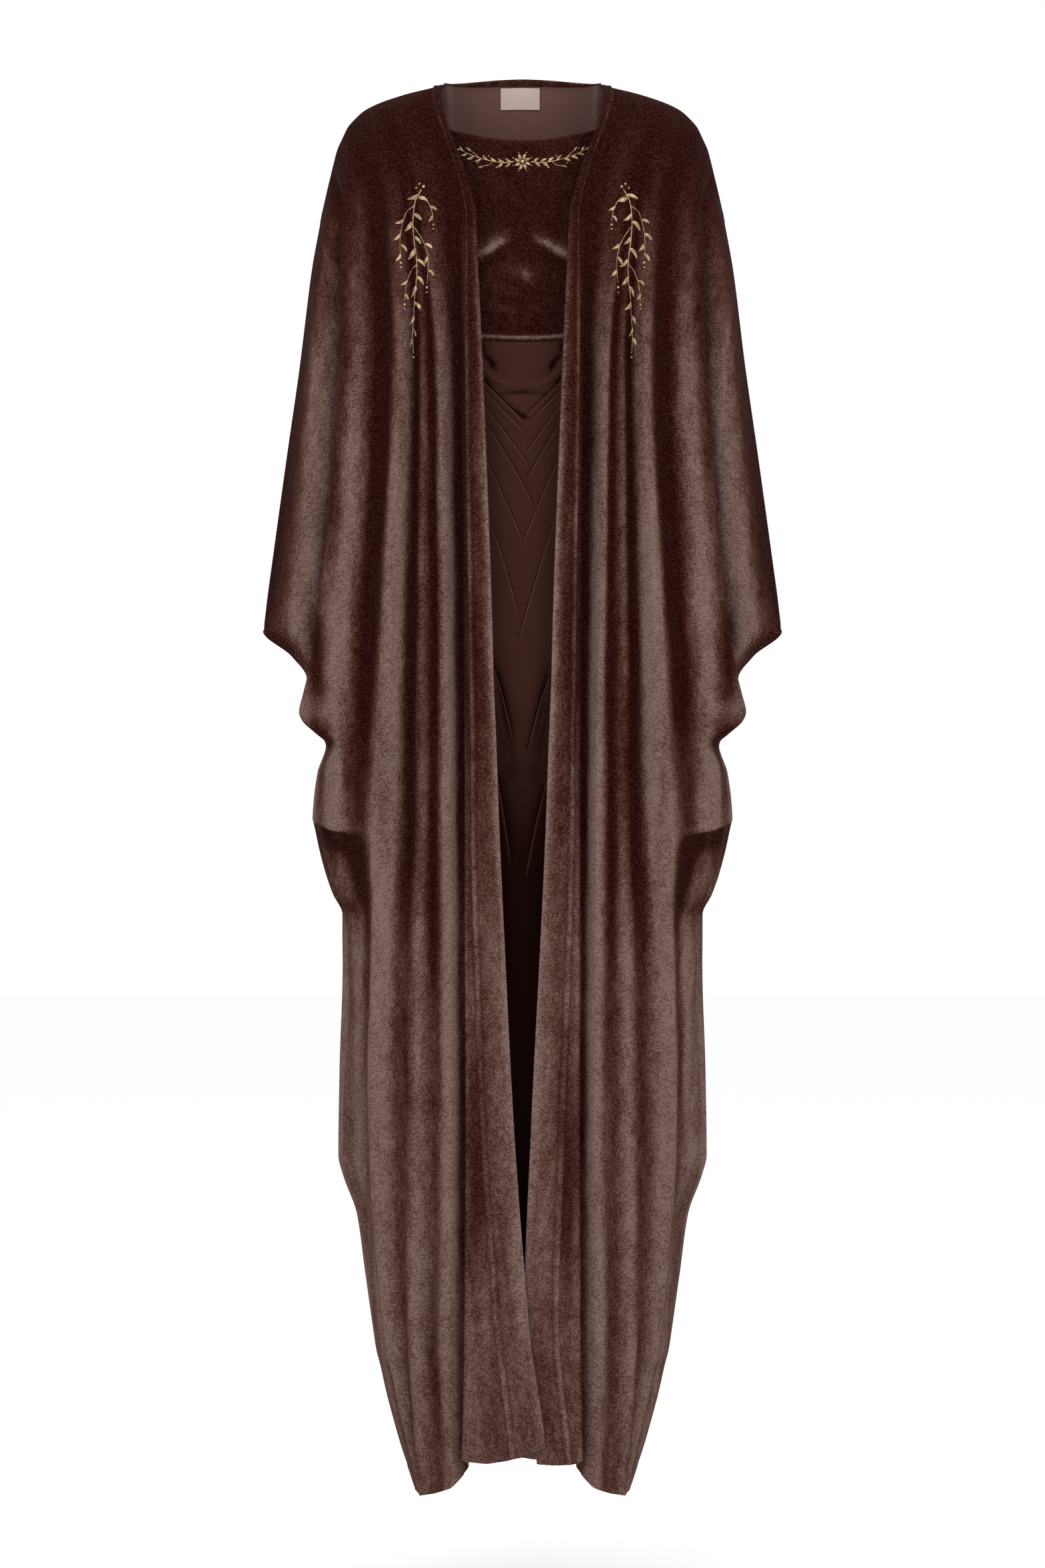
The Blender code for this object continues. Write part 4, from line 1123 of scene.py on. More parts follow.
def innerBodice(finishes):
    sizes = bodiceSizes
    neck = [(x, -y, -z) for x, y, z in zip(*sizes["neck"].values())]
    lower = garment["velvetWall"] + sizes["strapGap"]
    knots = np.array(neck + [underFront(x, sizes["strapRow"], lower) for x in sizes["straps"]])
    half = innerTable["cloth"][1]
    shares = np.linspace(0, 1, int(half / sizes["spacing"]))
    start = np.stack([smooth(shares, sizes["shares"], knots[:, k]) for k in range(3)], axis=1)
    slope = np.radians(np.interp(shares, sizes["slopes"]["share"], sizes["slopes"]["angle"]))
    top, foot = garment["yokeDrop"], sizes["empireDrop"]
    levelRows = [innerRows(shares * half, drop + 0 * shares) for drop in (top, top + garment["slopeStep"])]
    hanging = np.linspace(0, 1, sizes["highRows"], endpoint=False)
    high = hang(start, slope, *levelRows, hanging, sizes["strapPull"], -1)
    drops = np.linspace(top, foot, int((foot - top) / sizes["spacing"]))[:, None]
    across = readFrom(innerTable, "cloth", drops) * shares
    low = innerRows(across, drops - seamRise(across) * ((drops - top) / (foot - top)))
    points = whole(np.concatenate([high, low]))
    outwards = normalsOf(points)
    flat = flatCoordinates(points)
    aside, down = flat[..., 0], flat[..., 1]
    fromFoot = down[-1:] - down
    turn, roll, gathers, look = [sizes[name] for name in ("turn", "roll", "gathers", "paintedLightAndNap")]
    lift = turn["double"] * ease((turn["depth"] - down) / turn["edge"])
    lift -= turn["dip"] * bell(down - turn["depth"], turn["reach"])
    lift += roll["height"] * bell(fromFoot - roll["from"], roll["reach"])
    waves = np.sin(aside * gathers["wave"] + gathers["shift"] * np.sin(aside * gathers["slow"]))
    waves *= np.exp(-fromFoot / gathers["reach"]) * ease(fromFoot / gathers["start"])
    points = points + outwards * (lift + gathers["height"] * waves)[..., None]
    points = points + pressed(points, [crease[:3] for crease in bodiceCreases])
    # painted highlights on the raised edge at the empire seam, on raised cloth, along the turned neck edge
    # and on the bust creases
    paintedLightAndNap = look["least"] + look["roll"] * bell(fromFoot - look["rollFrom"], look["rollReach"])
    paintedLightAndNap += look["height"] * ((points - blurred(points, *paintedLightAndNapLook["near"])) * outwards).sum(axis=2)
    paintedLightAndNap += look["edge"] * bell(down, look["edgeReach"])
    for path, height, width, pale in bodiceCreases:
        paintedLightAndNap += pale * stroke(seenFrom(points), path, look["widen"] * width, *look["ends"])
    return gridPiece("innerBodice", points, finishes, garment["velvetWall"], flat, paintedLightAndNap)


skirtSizes = {
    "hemDrop": 1400.0,
    "showing": 49.0,       # half the width that shows, which has the finer mesh
    "fine": 3.2,
    "coarse": 12.0,
    "along": 4.0,          # from one point to the next along a pleat
    "beside": (-7.0, -3.2, -1.3, -0.5, 0.0, 0.35, 1.1, 3.0),   # and beside its folded edge
    "edge": 0.4,           # the rows beside it that are nearer than this are its own
    "clear": 0.9,
    "pleatClear": 1.9,
    "topClear": 1.0,
    "joint": 0.02,
    "seamFade": 12.0,
    "lip": 0.8,            # how far the folded edge stands out
    "lead": 6.0,
    "depth": 1.5,          # how far the cloth lies back above it
    "recover": 12.0,
    "start": 0.03,         # the shares of a pleat in which it rises from the side, and runs out
    "end": 0.15,
    "reach": 26.0,         # how far from its edge it is felt, and over what it ends
    "reachFade": 12.0,
    "least": 0.6,          # how strong its painted shade and highlight are at its ends
    "rollEnds": 0.12,
    "over": 0.17,          # how far above its edge the folded cloth ends
    "corner": 0.75,        # its painted dark line of shade in the fold, how wide, and how far the painted shade above it reaches
    "cornerTone": 0.85,
    "shade": 5.0,
    "shadeTone": 0.28,
    # the painted highlight on the folded edge: strength, offset and width
    "lipTone": (0.6, 0.25, 0.75),
    "seamDip": (1.2, 2.4),
    # painted shadow along the seam under the bodice's raised edge
    "seamTone": (0.40, 2.2),
    # painted shade lower down, in the fronts' shadow, from a drop over a length: at the sides, and everywhere
    "sideTone": {"share": 0.30, "drop": 520, "over": 380, "least": 0.4, "aside": 0.6, "at": 40, "most": 1.4},
    "lowTone": {"share": 0.40, "drop": 560, "over": 420},
}
# knife pleats: from the side to the end past the middle (across, drop), how deep, how dark the painted shade
# beneath
pleats = (
    ((-41.1, 327, -18.6, 348.6, 4.4, 372.1), 1, 1),
    ((40.1, 327, 19.6, 346.6, 2.9, 363.3), 0.9, 0.8),
    ((-40.6, 335.8, -15.7, 361.3, 9.8, 387.7), 0.8, 0.5),
    ((40.1, 335.8, 21.5, 354.4, 6.1, 372.1), 0.7, 0.5),
    ((-40.1, 352.5, -13.7, 385.8, 10.4, 420), 0.9, 0.45),
    ((39.2, 352.5, 19.6, 378.9, 2.9, 402.4), 0.8, 0.45),
    ((-39.2, 369.1, -11.7, 412.2, 14.4, 462.1), 1, 0.75),
    ((38.2, 371.1, 19.6, 401.4, 2, 433.7), 1, 0.7),
    ((37.7, 408.3, 25.5, 433.7, 14.2, 461.1), 0.9, 0.5),
    ((-37.2, 409.3, -17.6, 451.4, 1.5, 494.4), 1, 0.5),
    ((14.3, 462.1, 7.8, 475.8, 1.5, 491.5), 0.9, 0.5),
    ((-35.2, 471.9, -18.6, 516.9, -3.9, 573.7), 0.9, 0.45),
    ((32.3, 475.8, 15.7, 526.7, -6.9, 604.1), 1, 0.45),
    ((-31.3, 621.7, -19.6, 657.9, -9.8, 700), 1, 0.45),
    ((29.4, 631.5, 17.6, 663.8, 3.9, 716.6), 1, 0.45),
    ((-26.4, 737.2, -19.6, 777.3, -11.7, 832.1), 0.9, 0.4),
    ((23.5, 748, 13.7, 789.1, 2, 847.8), 0.8, 0.4),
)
# soft rolls of the cowl over them: a path, its height, half width, and its painted highlight, negative for
# painted shade
cowlRolls = (
    ((-43, 311, -36, 318, -30, 323, -22, 327, -11, 331, 0, 331), 1.5, 2.4, 0.30),
    ((43, 313, 35, 321, 24, 327, 14, 330, 2, 331), 1.5, 2.4, 0.26),
    ((-40, 304, -22, 318, 0, 322, 22, 318, 40, 305), -0.8, 5, -0.08),
    ((-22, 340, -14, 338, 0, 337.5, 14, 338, 23, 339.5), -2, 2.8, -0.42),
    ((-19, 344.6, -8, 347.4, 1.7, 352, 6.4, 355.5), 0.8, 1.8, 0.26),
    ((22, 344.6, 14, 346.6, 4.9, 350), 0.7, 1.8, 0.20),
    ((-43, 296, -37.7, 301, -32, 307, -28, 315), -2.4, 2.6, -0.62),
    ((43, 297, 36.4, 302.5, 31, 309, 28, 316), -2.4, 2.6, -0.62),
    ((-39, 306, -34, 311, -31, 317), -1.2, 4, -0.24),
    ((39, 306, 34, 311, 31, 317), -1.2, 4, -0.24),
    ((-43, 288, -40.5, 291, -40, 295), -1.2, 3.2, -0.50),
    ((43, 287, 40.5, 290, 40, 295), -1.2, 3.2, -0.50),
    ((-24, 319, -17, 316, -12, 312), -0.7, 3.6, -0.14),
    ((16, 313, 22, 318, 27, 319), -0.7, 3.6, -0.14),
    ((-9, 356.5, -1.5, 362, 6, 365), -1.4, 1.7, -0.70),
    ((-43, 320, -39, 325, -34, 331), -1.4, 1.9, -0.60),
    ((43, 318, 39, 323.5, 34, 330), -1.4, 1.9, -0.60),
)
# hollows with painted shade and lines with painted highlights lower down, where the skirt hangs free
hollows = (
    ((-36, 590, -24, 650, -10, 735), -1.2, 7, -0.24),
    ((34, 590, 24, 650, 12, 735), -1.2, 7, -0.24),
    ((-34, 610, -24, 672, -13, 722), 0.6, 1.5, 0.20),
    ((31, 610, 22, 672, 11, 722), 0.6, 1.5, 0.20),
)


def bent(path, spacing):
    # a path of three points as a smooth bend through the middle one
    first, middle, last = np.reshape(path, (-1, 2)).astype(float)
    count = int(norms(last - first) / spacing) + 2
    share = np.linspace(0, 1, count)[:, None]
    middle = 2 * middle - (first + last) / 2
    return (1 - share) ** 2 * first + 2 * share * (1 - share) * middle + share**2 * last


def pleatSpots(lines, top):
    # points in rows beside each pleat's edge, and the edges along it
    sizes = skirtSizes
    spots, edges, count = [], [], 0
    for k, line in enumerate(lines):
        steps = unit(np.gradient(line, axis=0))
        upwards = np.stack([steps[:, 1], -steps[:, 0]], axis=1)
        upwards = upwards * -np.sign(upwards[:, 1])[:, None]
        for aside in sizes["beside"]:
            row = line + upwards * aside
            clear = row[:, 1] > top + sizes["topClear"]
            if abs(aside) > sizes["edge"]:
                for other in lines[:k] + lines[k + 1:]:
                    clear &= lineDistance(row[:, 0], row[:, 1], other)[0] > sizes["clear"]
            row = row[clear]
            if 0 <= aside < sizes["edge"]:
                edges += [(count + n, count + n + 1) for n in range(len(row) - 1)]
            spots.append(row)
            count += len(row)
    return spots, edges


def evenSpots(lines, top):
    # staggered points, fine where the skirt shows and coarse beside it, clear of the pleats
    sizes = skirtSizes
    spots = []
    showing = sizes["showing"]
    for spacing, inner, outer in ((sizes["fine"], 0, showing), (sizes["coarse"], showing, np.inf)):
        drops = np.arange(top, sizes["hemDrop"] - spacing / 2, spacing)
        for n, drop in enumerate(np.append(drops, sizes["hemDrop"])):
            reach = readFrom(innerTable, "cloth", drop)
            across = np.arange(inner + spacing / 2 * (n % 2), min(outer, reach - spacing / 3), spacing)
            if outer > reach:
                across = np.append(across, reach)
            across = np.concatenate([-across[::-1], across[across > 0]])
            row = np.stack([across, 0 * across + drop], axis=1)
            if inner == 0:
                near = [lineDistance(row[:, 0], row[:, 1], line)[0] for line in lines]
                row = row[(np.min(near, axis=0) > sizes["pleatClear"]) | (drop < top + sizes["topClear"])]
            spots.append(row)
    return spots


def innerSkirt(finish):
    # satin with knife pleats that come in turn from the left and the right, under a cowl
    sizes = skirtSizes
    top = bodiceSizes["empireDrop"] + garment["seamGap"]
    lines = [bent(path, sizes["along"]) for path, _, _ in pleats]
    spots, edges = pleatSpots(lines, top)
    spots = np.concatenate(spots + evenSpots(lines, top))
    made = delaunay_2d_cdt([Vector(spot) for spot in spots.tolist()], edges, [], 0, sizes["joint"])
    flat = np.array([tuple(spot) for spot in made[0]])
    across, drops = flat[:, 0], flat[:, 1]
    drops = drops - seamRise(across) * np.exp(-(drops - drops.min()) / sizes["seamFade"])
    points = innerRows(across, drops)
    slopeAcross = innerForm(across + 1, drops) - innerForm(across - 1, drops)
    slopeDown = innerForm(across, drops + 1) - innerForm(across, drops - 1)
    outwards = unit(np.stack([-slopeAcross / 2, 0 * drops - 1, slopeDown / 2], axis=1))
    lift = np.zeros(len(points))
    # the tone carries painted highlights on the pleats' folded edges and painted shade in their corners and
    # beneath them
    tone = np.full(len(points), 0.5)
    lipTone, lipFrom, lipReach = sizes["lipTone"]
    for (path, weight, shade), line in zip(pleats, lines):
        distance, place, side = lineDistance(across, drops, line)
        above = distance * np.where(path[0] < 0, -side, side)
        inside = ease(place / sizes["start"] + 0.5) * ease((1 - place) / sizes["end"])
        inside = inside * ease((sizes["reach"] - distance) / sizes["reachFade"])
        strong = inside * (sizes["least"] + (1 - sizes["least"]) * np.sin(np.pi * place))
        over = above < sizes["over"]
        lip = sizes["lip"] * np.exp(-np.abs(above) / sizes["lead"])
        back = -sizes["depth"] * np.exp(-np.abs(above) / sizes["recover"])
        lift += weight * inside * np.where(over, lip, back)
        dark = sizes["cornerTone"] * bell(above, sizes["corner"])
        dark = dark + sizes["shadeTone"] * np.exp(-above / sizes["shade"])
        tone += strong * np.where(over, lipTone * bell(above + lipFrom, lipReach), -shade * dark)
    for path, height, width, shade in cowlRolls + hollows:
        soft = stroke((across, drops), path, width, sizes["rollEnds"])
        lift += height * soft
        tone += shade * soft
    fromTop = drops - bodiceSizes["empireDrop"]
    lift -= sizes["seamDip"][0] * bell(fromTop, sizes["seamDip"][1])
    # painted shadow along the seam under the bodice's raised edge
    tone -= sizes["seamTone"][0] * bell(fromTop, sizes["seamTone"][1])
    # painted shade at the sides and lower down, in the fronts' shadow
    low, side = sizes["lowTone"], sizes["sideTone"]
    aside = (side["least"] + side["aside"] * (across / side["at"]) ** 2).clip(0, side["most"])
    tone -= side["share"] * ease((drops - side["drop"]) / side["over"]) * aside
    tone -= low["share"] * ease((drops - low["drop"]) / low["over"])
    points = points + outwards * lift[:, None]
    piece = added(bpy.ops.mesh.primitive_plane_add, "innerSkirt")
    mesh = piece.data
    mesh.clear_geometry()
    mesh.from_pydata((points * mm).tolist(), [], made[2])
    mesh.update()
    if sum(face.normal.y for face in mesh.polygons) > 0:
        mesh.flip_normals()
    finishPiece(piece, [finish], garment["satinWall"], flat, tone)
    return piece, areaOf(*points[np.array(made[2])].transpose(1, 0, 2))


neckBandSizes = {
    "height": 7.2,
    "gap": 0.4,
    "end": 83.4,
    "taper": 0.93,
    "wall": 2.6,
    "columns": 34,
    # its rows as shares of its height, those that lap over the cloth in millimetres, and the painted light
    # and shade of each
    "rows": (1, 0.93, 0.8, 0.6, 0.4, 0.22, 0.1),
    "lap": (1.0, 2.4),
    "paintedLightAndNap": (0.6, 0.495, 0.355, 0.32, 0.285, 0.25, 0.285, 0.355, 0.425),
}


def neckBand(finishes):
    # the binding stands on the back neck edge, in line with the cloth below it
    sizes = neckBandSizes
    line = cloth([0], np.linspace(0, columnsOf("back"), samples["neck"]), "back")[0]
    half = readAt(np.linspace(0, sizes["end"], sizes["columns"]), line[:, 0], line).T
    edge = np.concatenate([half[:0:-1] * (-1, 1, 1), half])
    slope = np.radians(np.interp(np.abs(edge[:, 0]), backNeckTable["across"], backNeckTable["angle"]))
    rise = np.stack([0 * slope, -np.cos(slope), np.sin(slope)], axis=1)
    height = sizes["height"] * (1 - sizes["taper"] * (edge[:, 0] / sizes["end"]) ** 2)
    rows = [edge + rise * (sizes["gap"] + height * share)[:, None] for share in sizes["rows"]]
    points = np.array(rows + [edge - rise * lap for lap in sizes["lap"]])
    paintedLightAndNap = np.array(sizes["paintedLightAndNap"])[:, None] + 0 * points[..., 0]
    return gridPiece("neckBinding", points, finishes, sizes["wall"], flatCoordinates(points), paintedLightAndNap)


# its sides and ends, and how many of the back's columns it lies under
labelSizes = {"sides": (-23.5, 18.5), "ends": (1.2, 20.8), "under": 2, "wall": 0.9, "columns": 43, "rows": 25}


def label(finish):
    # a bare woven label inside the back neck
    sizes = labelSizes
    across = np.linspace(*sizes["sides"], sizes["columns"])
    dense = np.linspace(0, sizes["under"], samples["label"])
    inwards = garment["velvetWall"] / 2 + garment["seamGap"] + sizes["wall"] / 2
    points = []
    for row in np.linspace(*sizes["ends"], sizes["rows"]):
        back = cloth([row - 1, row, row + 1], dense, "back")
        outwards = normalsOf(back)[1]
        inner = back[1] - outwards * np.sign(outwards[:, 1])[:, None] * inwards
        _, behind, up = readAt(np.abs(across), back[1, :, 0], inner)
        points.append(np.stack([across, behind, up], axis=1))
    points = np.array(points)
    return gridPiece("neckLabel", points, [finish], sizes["wall"], flatCoordinates(points))


def modelled(add, shape=None, **options):
    # one small shape made by its operator and reshaped: its points and faces
    item = added(add, **options)
    mesh = item.data
    points = np.array([vertex.co[:] for vertex in mesh.vertices])
    faces = [tuple(face.vertices) for face in mesh.polygons]
    bpy.data.objects.remove(item)
    bpy.data.meshes.remove(mesh)
    return shape(points) if shape else points, faces


def joinedCopies(name, copies, faces, finish):
    # copies of one modelled shape, each with its own points, as one piece
    mesh = bpy.data.meshes.new(name)
    count = len(copies[0])
    allFaces = [tuple(corner + k * count for corner in face) for k in range(len(copies)) for face in faces]
    mesh.from_pydata(np.concatenate(copies) * mm, [], allFaces)
    mesh.materials.append(finish)
    mesh.polygons.foreach_set("use_smooth", [True] * len(mesh.polygons))
    mesh.update()
    piece = bpy.data.objects.new(name, mesh)
    bpy.context.scene.collection.objects.link(piece)
    return piece


stitchSizes = {
    "length": 2.5,
    "pitch": 3.6,
    "thickness": 0.45,
    "narrow": 0.35,        # how much thinner its ends are, how flat it lies, and how far its ends dip
    "flat": 0.8,
    "dip": 0.9,
    "lift": 0.12,          # how far the thread lies above the cloth's outer face
    "wander": 0.10,        # how far its direction comes and goes, and how fast
    "wanderTurn": 2.4,
    "fromSeam": 0.9,       # from the band's seam to its first line of stitches
    "cuffLines": 3.2,      # between the two lines at a cuff
    "cuffEnd": 3.0,
}


def stitchShape(points):
    # a short thread that dips into the cloth at both ends
    sizes = stitchSizes
    across, height, along = points.T
    narrow = 1 - sizes["narrow"] * (2 * along) ** 2
    dip = sizes["dip"] * (2 * along) ** 4
    height = sizes["thickness"] * (height * sizes["flat"] * narrow - dip)
    return np.stack([across * sizes["thickness"] * narrow, along * sizes["length"], height], axis=1)


def stitchesAlong(line, outwards, wall, made, stitch):
    # stitches at even steps along a line on the cloth, lying on its outer face
    sizes = stitchSizes
    lengths = lengthsAlong(line)
    for k in range(int(lengths[-1] / sizes["pitch"])):
        places = (k + 0.5) * sizes["pitch"] + np.array([-0.5, 0, 0.5]) * sizes["length"]
        before, middle, after = [readAt(place, lengths, line) for place in places]
        out = unit(readAt(places[1], lengths, outwards))
        along = after - before
        along = unit(along - out * (along @ out))
        aside = np.cross(along, out)
        along = along + aside * sizes["wander"] * np.sin(k * sizes["wanderTurn"])
        made.append(stitch @ np.array([aside, along, out]) + middle + out * (wall / 2 + sizes["lift"]))


def lineAt(points, normals, measure, away, chosen):
    # a line at a distance from the end of each chosen row of a grid, and the outward direction on it
    found = []
    for values in (points, normals):
        found.append(np.array([readAt(measure[k, -1] - away, measure[k], values[k]) for k in chosen]))
    return found


def seamStitches(grids, flats, finish):
    # all the stitching that shows: bands, hems and cuffs
    sizes = stitchSizes
    sphere = bpy.ops.mesh.primitive_uv_sphere_add
    stitch, faces = modelled(sphere, stitchShape, segments=6, ring_count=5, radius=0.5)
    made = {}
    for side in ("right", "left"):
        made[side] = []
        band = "front_band_" + side
        points, across = grids[band], flats[band][..., 0]
        for away in (bandLook["secondStitch"], sizes["fromSeam"]):
            line, outs = lineAt(points, normalsOf(points), across, away, range(2, len(points) - 1))
            stitchesAlong(line, outs, bandLook["wall"], made[side], stitch)
        for node in ("front_" + side, "back_" + side):
            points, normals = grids[node], normalsOf(grids[node])
            across, down = flats[node][..., 0], flats[node][..., 1]
            turned = [(points.transpose(1, 0, 2), normals.transpose(1, 0, 2), down.T, panelSizes["turnedHem"],
                       range(1, points.shape[1] - 1))]
            edge = -points[:, -1, 2]
            cuff = np.flatnonzero((edge > garment["cuffTop"] + sizes["cuffEnd"])
                                  & (edge < garment["cuffFoot"] - sizes["cuffEnd"]))
            for away in (panelSizes["turnedCuff"], panelSizes["turnedCuff"] - sizes["cuffLines"]):
                turned.append((points, normals, across, away, cuff))
            for where in turned:
                stitchesAlong(*lineAt(*where), garment["velvetWall"], made[side], stitch)
    return {side: joinedCopies(side + "Stitches", made[side], faces, finish) for side in made}


leafSizes = {
    "rise": 1.3,           # of a leaf of this width
    "width": 4.4,
    "groove": 0.45,
    "grooveReach": 0.22,
    "lift": 0.15,
    "edgeDrop": 0.5,
    "bow": 0.10,
    "point": 0.8,          # how blunt its points are, and how steep its sides
    "side": 0.6,
    "least": 0.05,
}
stemSizes = {"radius": 0.55, "branch": 0.75, "step": 0.75, "twist": 0.14, "taper": 0.45, "lift": 0.35}
berrySizes = {"radius": 1.45, "flat": 0.75, "lift": 0.35}
# a hanging spray for the chest, across and down from its top:
# its stems, its leaves (place, angle, length, width) and its berries (place, size)
chestSpray = {
    "top": (105, 127),
    "stems": (
        ((0, 0), (6, 12), (9, 30), (8, 52), (5, 78), (5, 104), (8, 130), (10, 152), (9, 172)),
        ((7, 16), (16, 24), (21, 38), (23, 56), (22, 74)),
        ((8, 40), (0, 50), (-6, 66), (-8, 84), (-7, 100)),
        ((5, 80), (13, 90), (17, 104), (18, 118)),
        ((3, 6), (-5, 12), (-10, 22), (-12, 34)),
    ),
    "leaves": (
        (3, 5, 20, 13, 4.4), (4, 8, 155, 12, 4.2), (9, 25, 140, 13, 4.4), (9, 33, 50, 14, 4.6),
        (8, 50, 135, 12, 4.0), (6, 62, 55, 15, 4.6), (5, 74, 140, 13, 4.0), (5, 92, 128, 13, 4.0),
        (5, 102, 62, 13, 3.8), (7, 118, 122, 12, 3.4), (8, 132, 66, 12, 3.2), (10, 146, 118, 10, 2.8),
        (10, 156, 72, 9, 2.6), (19, 31, 30, 10, 3.6), (22, 46, 50, 11, 3.6), (22, 58, 130, 10, 3.4),
        (22, 68, 62, 10, 3.2), (-4, 58, 140, 10, 3.4), (-7, 72, 60, 10, 3.2), (-8, 86, 125, 9, 3.0),
        (15, 96, 40, 9, 3.0), (18, 110, 118, 8, 2.6), (-8, 18, 150, 9, 3.2), (-11, 28, 60, 8, 2.8),
    ),
    "berries": (
        (22, 78, 1.0), (22, 83, 0.7), (-7, 104, 1.0), (-6.6, 109, 0.7), (18, 122, 0.9), (18, 126.5, 0.6),
        (-12, 38, 0.9), (-12, 42.5, 0.6), (9, 176, 0.8), (-2, -3, 1.1), (2, -6, 0.9), (5, -2, 0.8),
    ),
}
neckGarland = {
    "top": (0, 0),
    "stems": (
        ((9, 95), (20, 96), (32, 94), (45, 90), (57, 85), (67, 79)),
        ((30, 94), (35, 98), (41, 99)),
        ((46, 90), (49, 86), (54, 82)),
    ),
    "leaves": (
        (12, 95, -35, 7, 2.8), (13, 96, 40, 7, 2.8), (19, 96, -35, 8, 3.0), (21, 96, 38, 8, 3.0),
        (27, 95, -40, 8, 3.0), (36, 93, -48, 8, 3.0), (41, 99, 10, 6, 2.4), (43, 91, 20, 8, 2.8),
        (51, 88, 22, 8, 2.8), (54, 82, -50, 6, 2.4), (58, 85, 12, 7, 2.6), (62, 82, -60, 7, 2.4),
        (66, 80, -22, 7, 2.4),
    ),
    "berries": ((35, 88.5, 0.6), (47, 95.5, 0.6), (27, 101, 0.6), (59, 79, 0.5)),
}
neckRosette = {
    "centre": (0, 95),
    "petals": 8,
    "petal": (2.6, 6.6, 3.4),
    "berry": 1.5,
    "bead": 0.45,
    "beadAway": 10.6,
}


def clothUnder(points):
    # the cloth as a surface on which a point across and down is found from in front
    rows, columns = points.shape[:2]
    index = np.arange(rows * columns).reshape(rows, columns)
    faces = np.stack([index[:-1, :-1], index[1:, :-1], index[1:, 1:], index[:-1, 1:]], axis=-1)
    return BVHTree.FromPolygons(points.reshape(-1, 3).tolist(), faces.reshape(-1, 4).tolist())


# where the rays that find the cloth start, in front of it
rayStart = -400


def laidOn(tree, spots, heights):
    # points across and down, each at its height above the outer face of the cloth
    laid = []
    for (across, drop), height in zip(spots, heights):
        place, normal, _, _ = tree.ray_cast(Vector((across, rayStart, -drop)), Vector((0, 1, 0)))
        hand = -1 if normal.y > 0 else 1
        laid.append(np.array(place) + hand * np.array(normal) * (garment["velvetWall"] / 2 + height))
    return np.array(laid)


def leafShape(points):
    return np.stack([points[:, 0] + 0.5, points[:, 1] * 2, 0 * points[:, 0]], axis=1)


def sewnLeaf(tree, leaf, place, angle, length, width):
    # a padded satin-stitch leaf, pointed at both ends, with a groove along its middle
    sizes = leafSizes
    along, aside = leaf[:, 0], leaf[:, 1]
    share = np.sin(np.pi * along ** sizes["point"]) ** sizes["point"]
    turn = np.radians(angle)
    way = np.array([np.cos(turn), np.sin(turn)])
    bow = sizes["bow"] * length * np.sin(np.pi * along)
    spots = np.array(place) + (along * length)[:, None] * way
    spots = spots + (aside * share * width / 2 + bow)[:, None] * np.array([way[1], -way[0]])
    dome = np.sqrt(np.clip(1 - aside**2, 0, 1)) * share ** sizes["side"]
    heights = sizes["lift"] + dome * sizes["rise"] * width / sizes["width"]
    heights = heights - sizes["groove"] * bell(aside, sizes["grooveReach"]) * share
    return laidOn(tree, spots, heights - sizes["edgeDrop"] * (dome < sizes["least"]))


def sewnBerry(tree, ball, place, size):
    sizes = berrySizes
    centre = laidOn(tree, [place], [sizes["lift"]])[0]
    return centre + ball * sizes["radius"] * size * np.array([1, sizes["flat"], 1])


def sewnStem(name, tree, path, finish, radius):
    # a couched twisted thread, thinner towards its end
    sizes = stemSizes
    knots = lengthsAlong(path)
    count = int(knots[-1] / sizes["step"])
    along = np.linspace(0, knots[-1], count)
    columns = [path[:, k] for k in range(2)]
    spots = np.stack([curved(along, knots, column, np.gradient(column, knots)) for column in columns], axis=1)
    laid = laidOn(tree, spots, [sizes["lift"]] * count)
    curve = bpy.data.curves.new(name, "CURVE")
    curve.dimensions = "3D"
    curve.bevel_depth = radius * mm
    curve.bevel_resolution = 1
    curve.use_fill_caps = True
    spline = curve.splines.new("POLY")
    spline.points.add(count - 1)
    spline.points.foreach_set("co", np.column_stack([laid * mm, np.ones(count)]).ravel())
    twist = 1 + sizes["twist"] * np.where(np.arange(count) % 2, 1, -1)
    spline.points.foreach_set("radius", (1 - sizes["taper"] * along / along[-1]) * twist)
    stem = bpy.data.objects.new(name, curve)
    bpy.context.scene.collection.objects.link(stem)
    selectOnly([stem])
    bpy.ops.object.convert(target="MESH")
    stem = bpy.context.active_object
    stem.data.materials.clear()
    stem.data.materials.append(finish)
    return stem


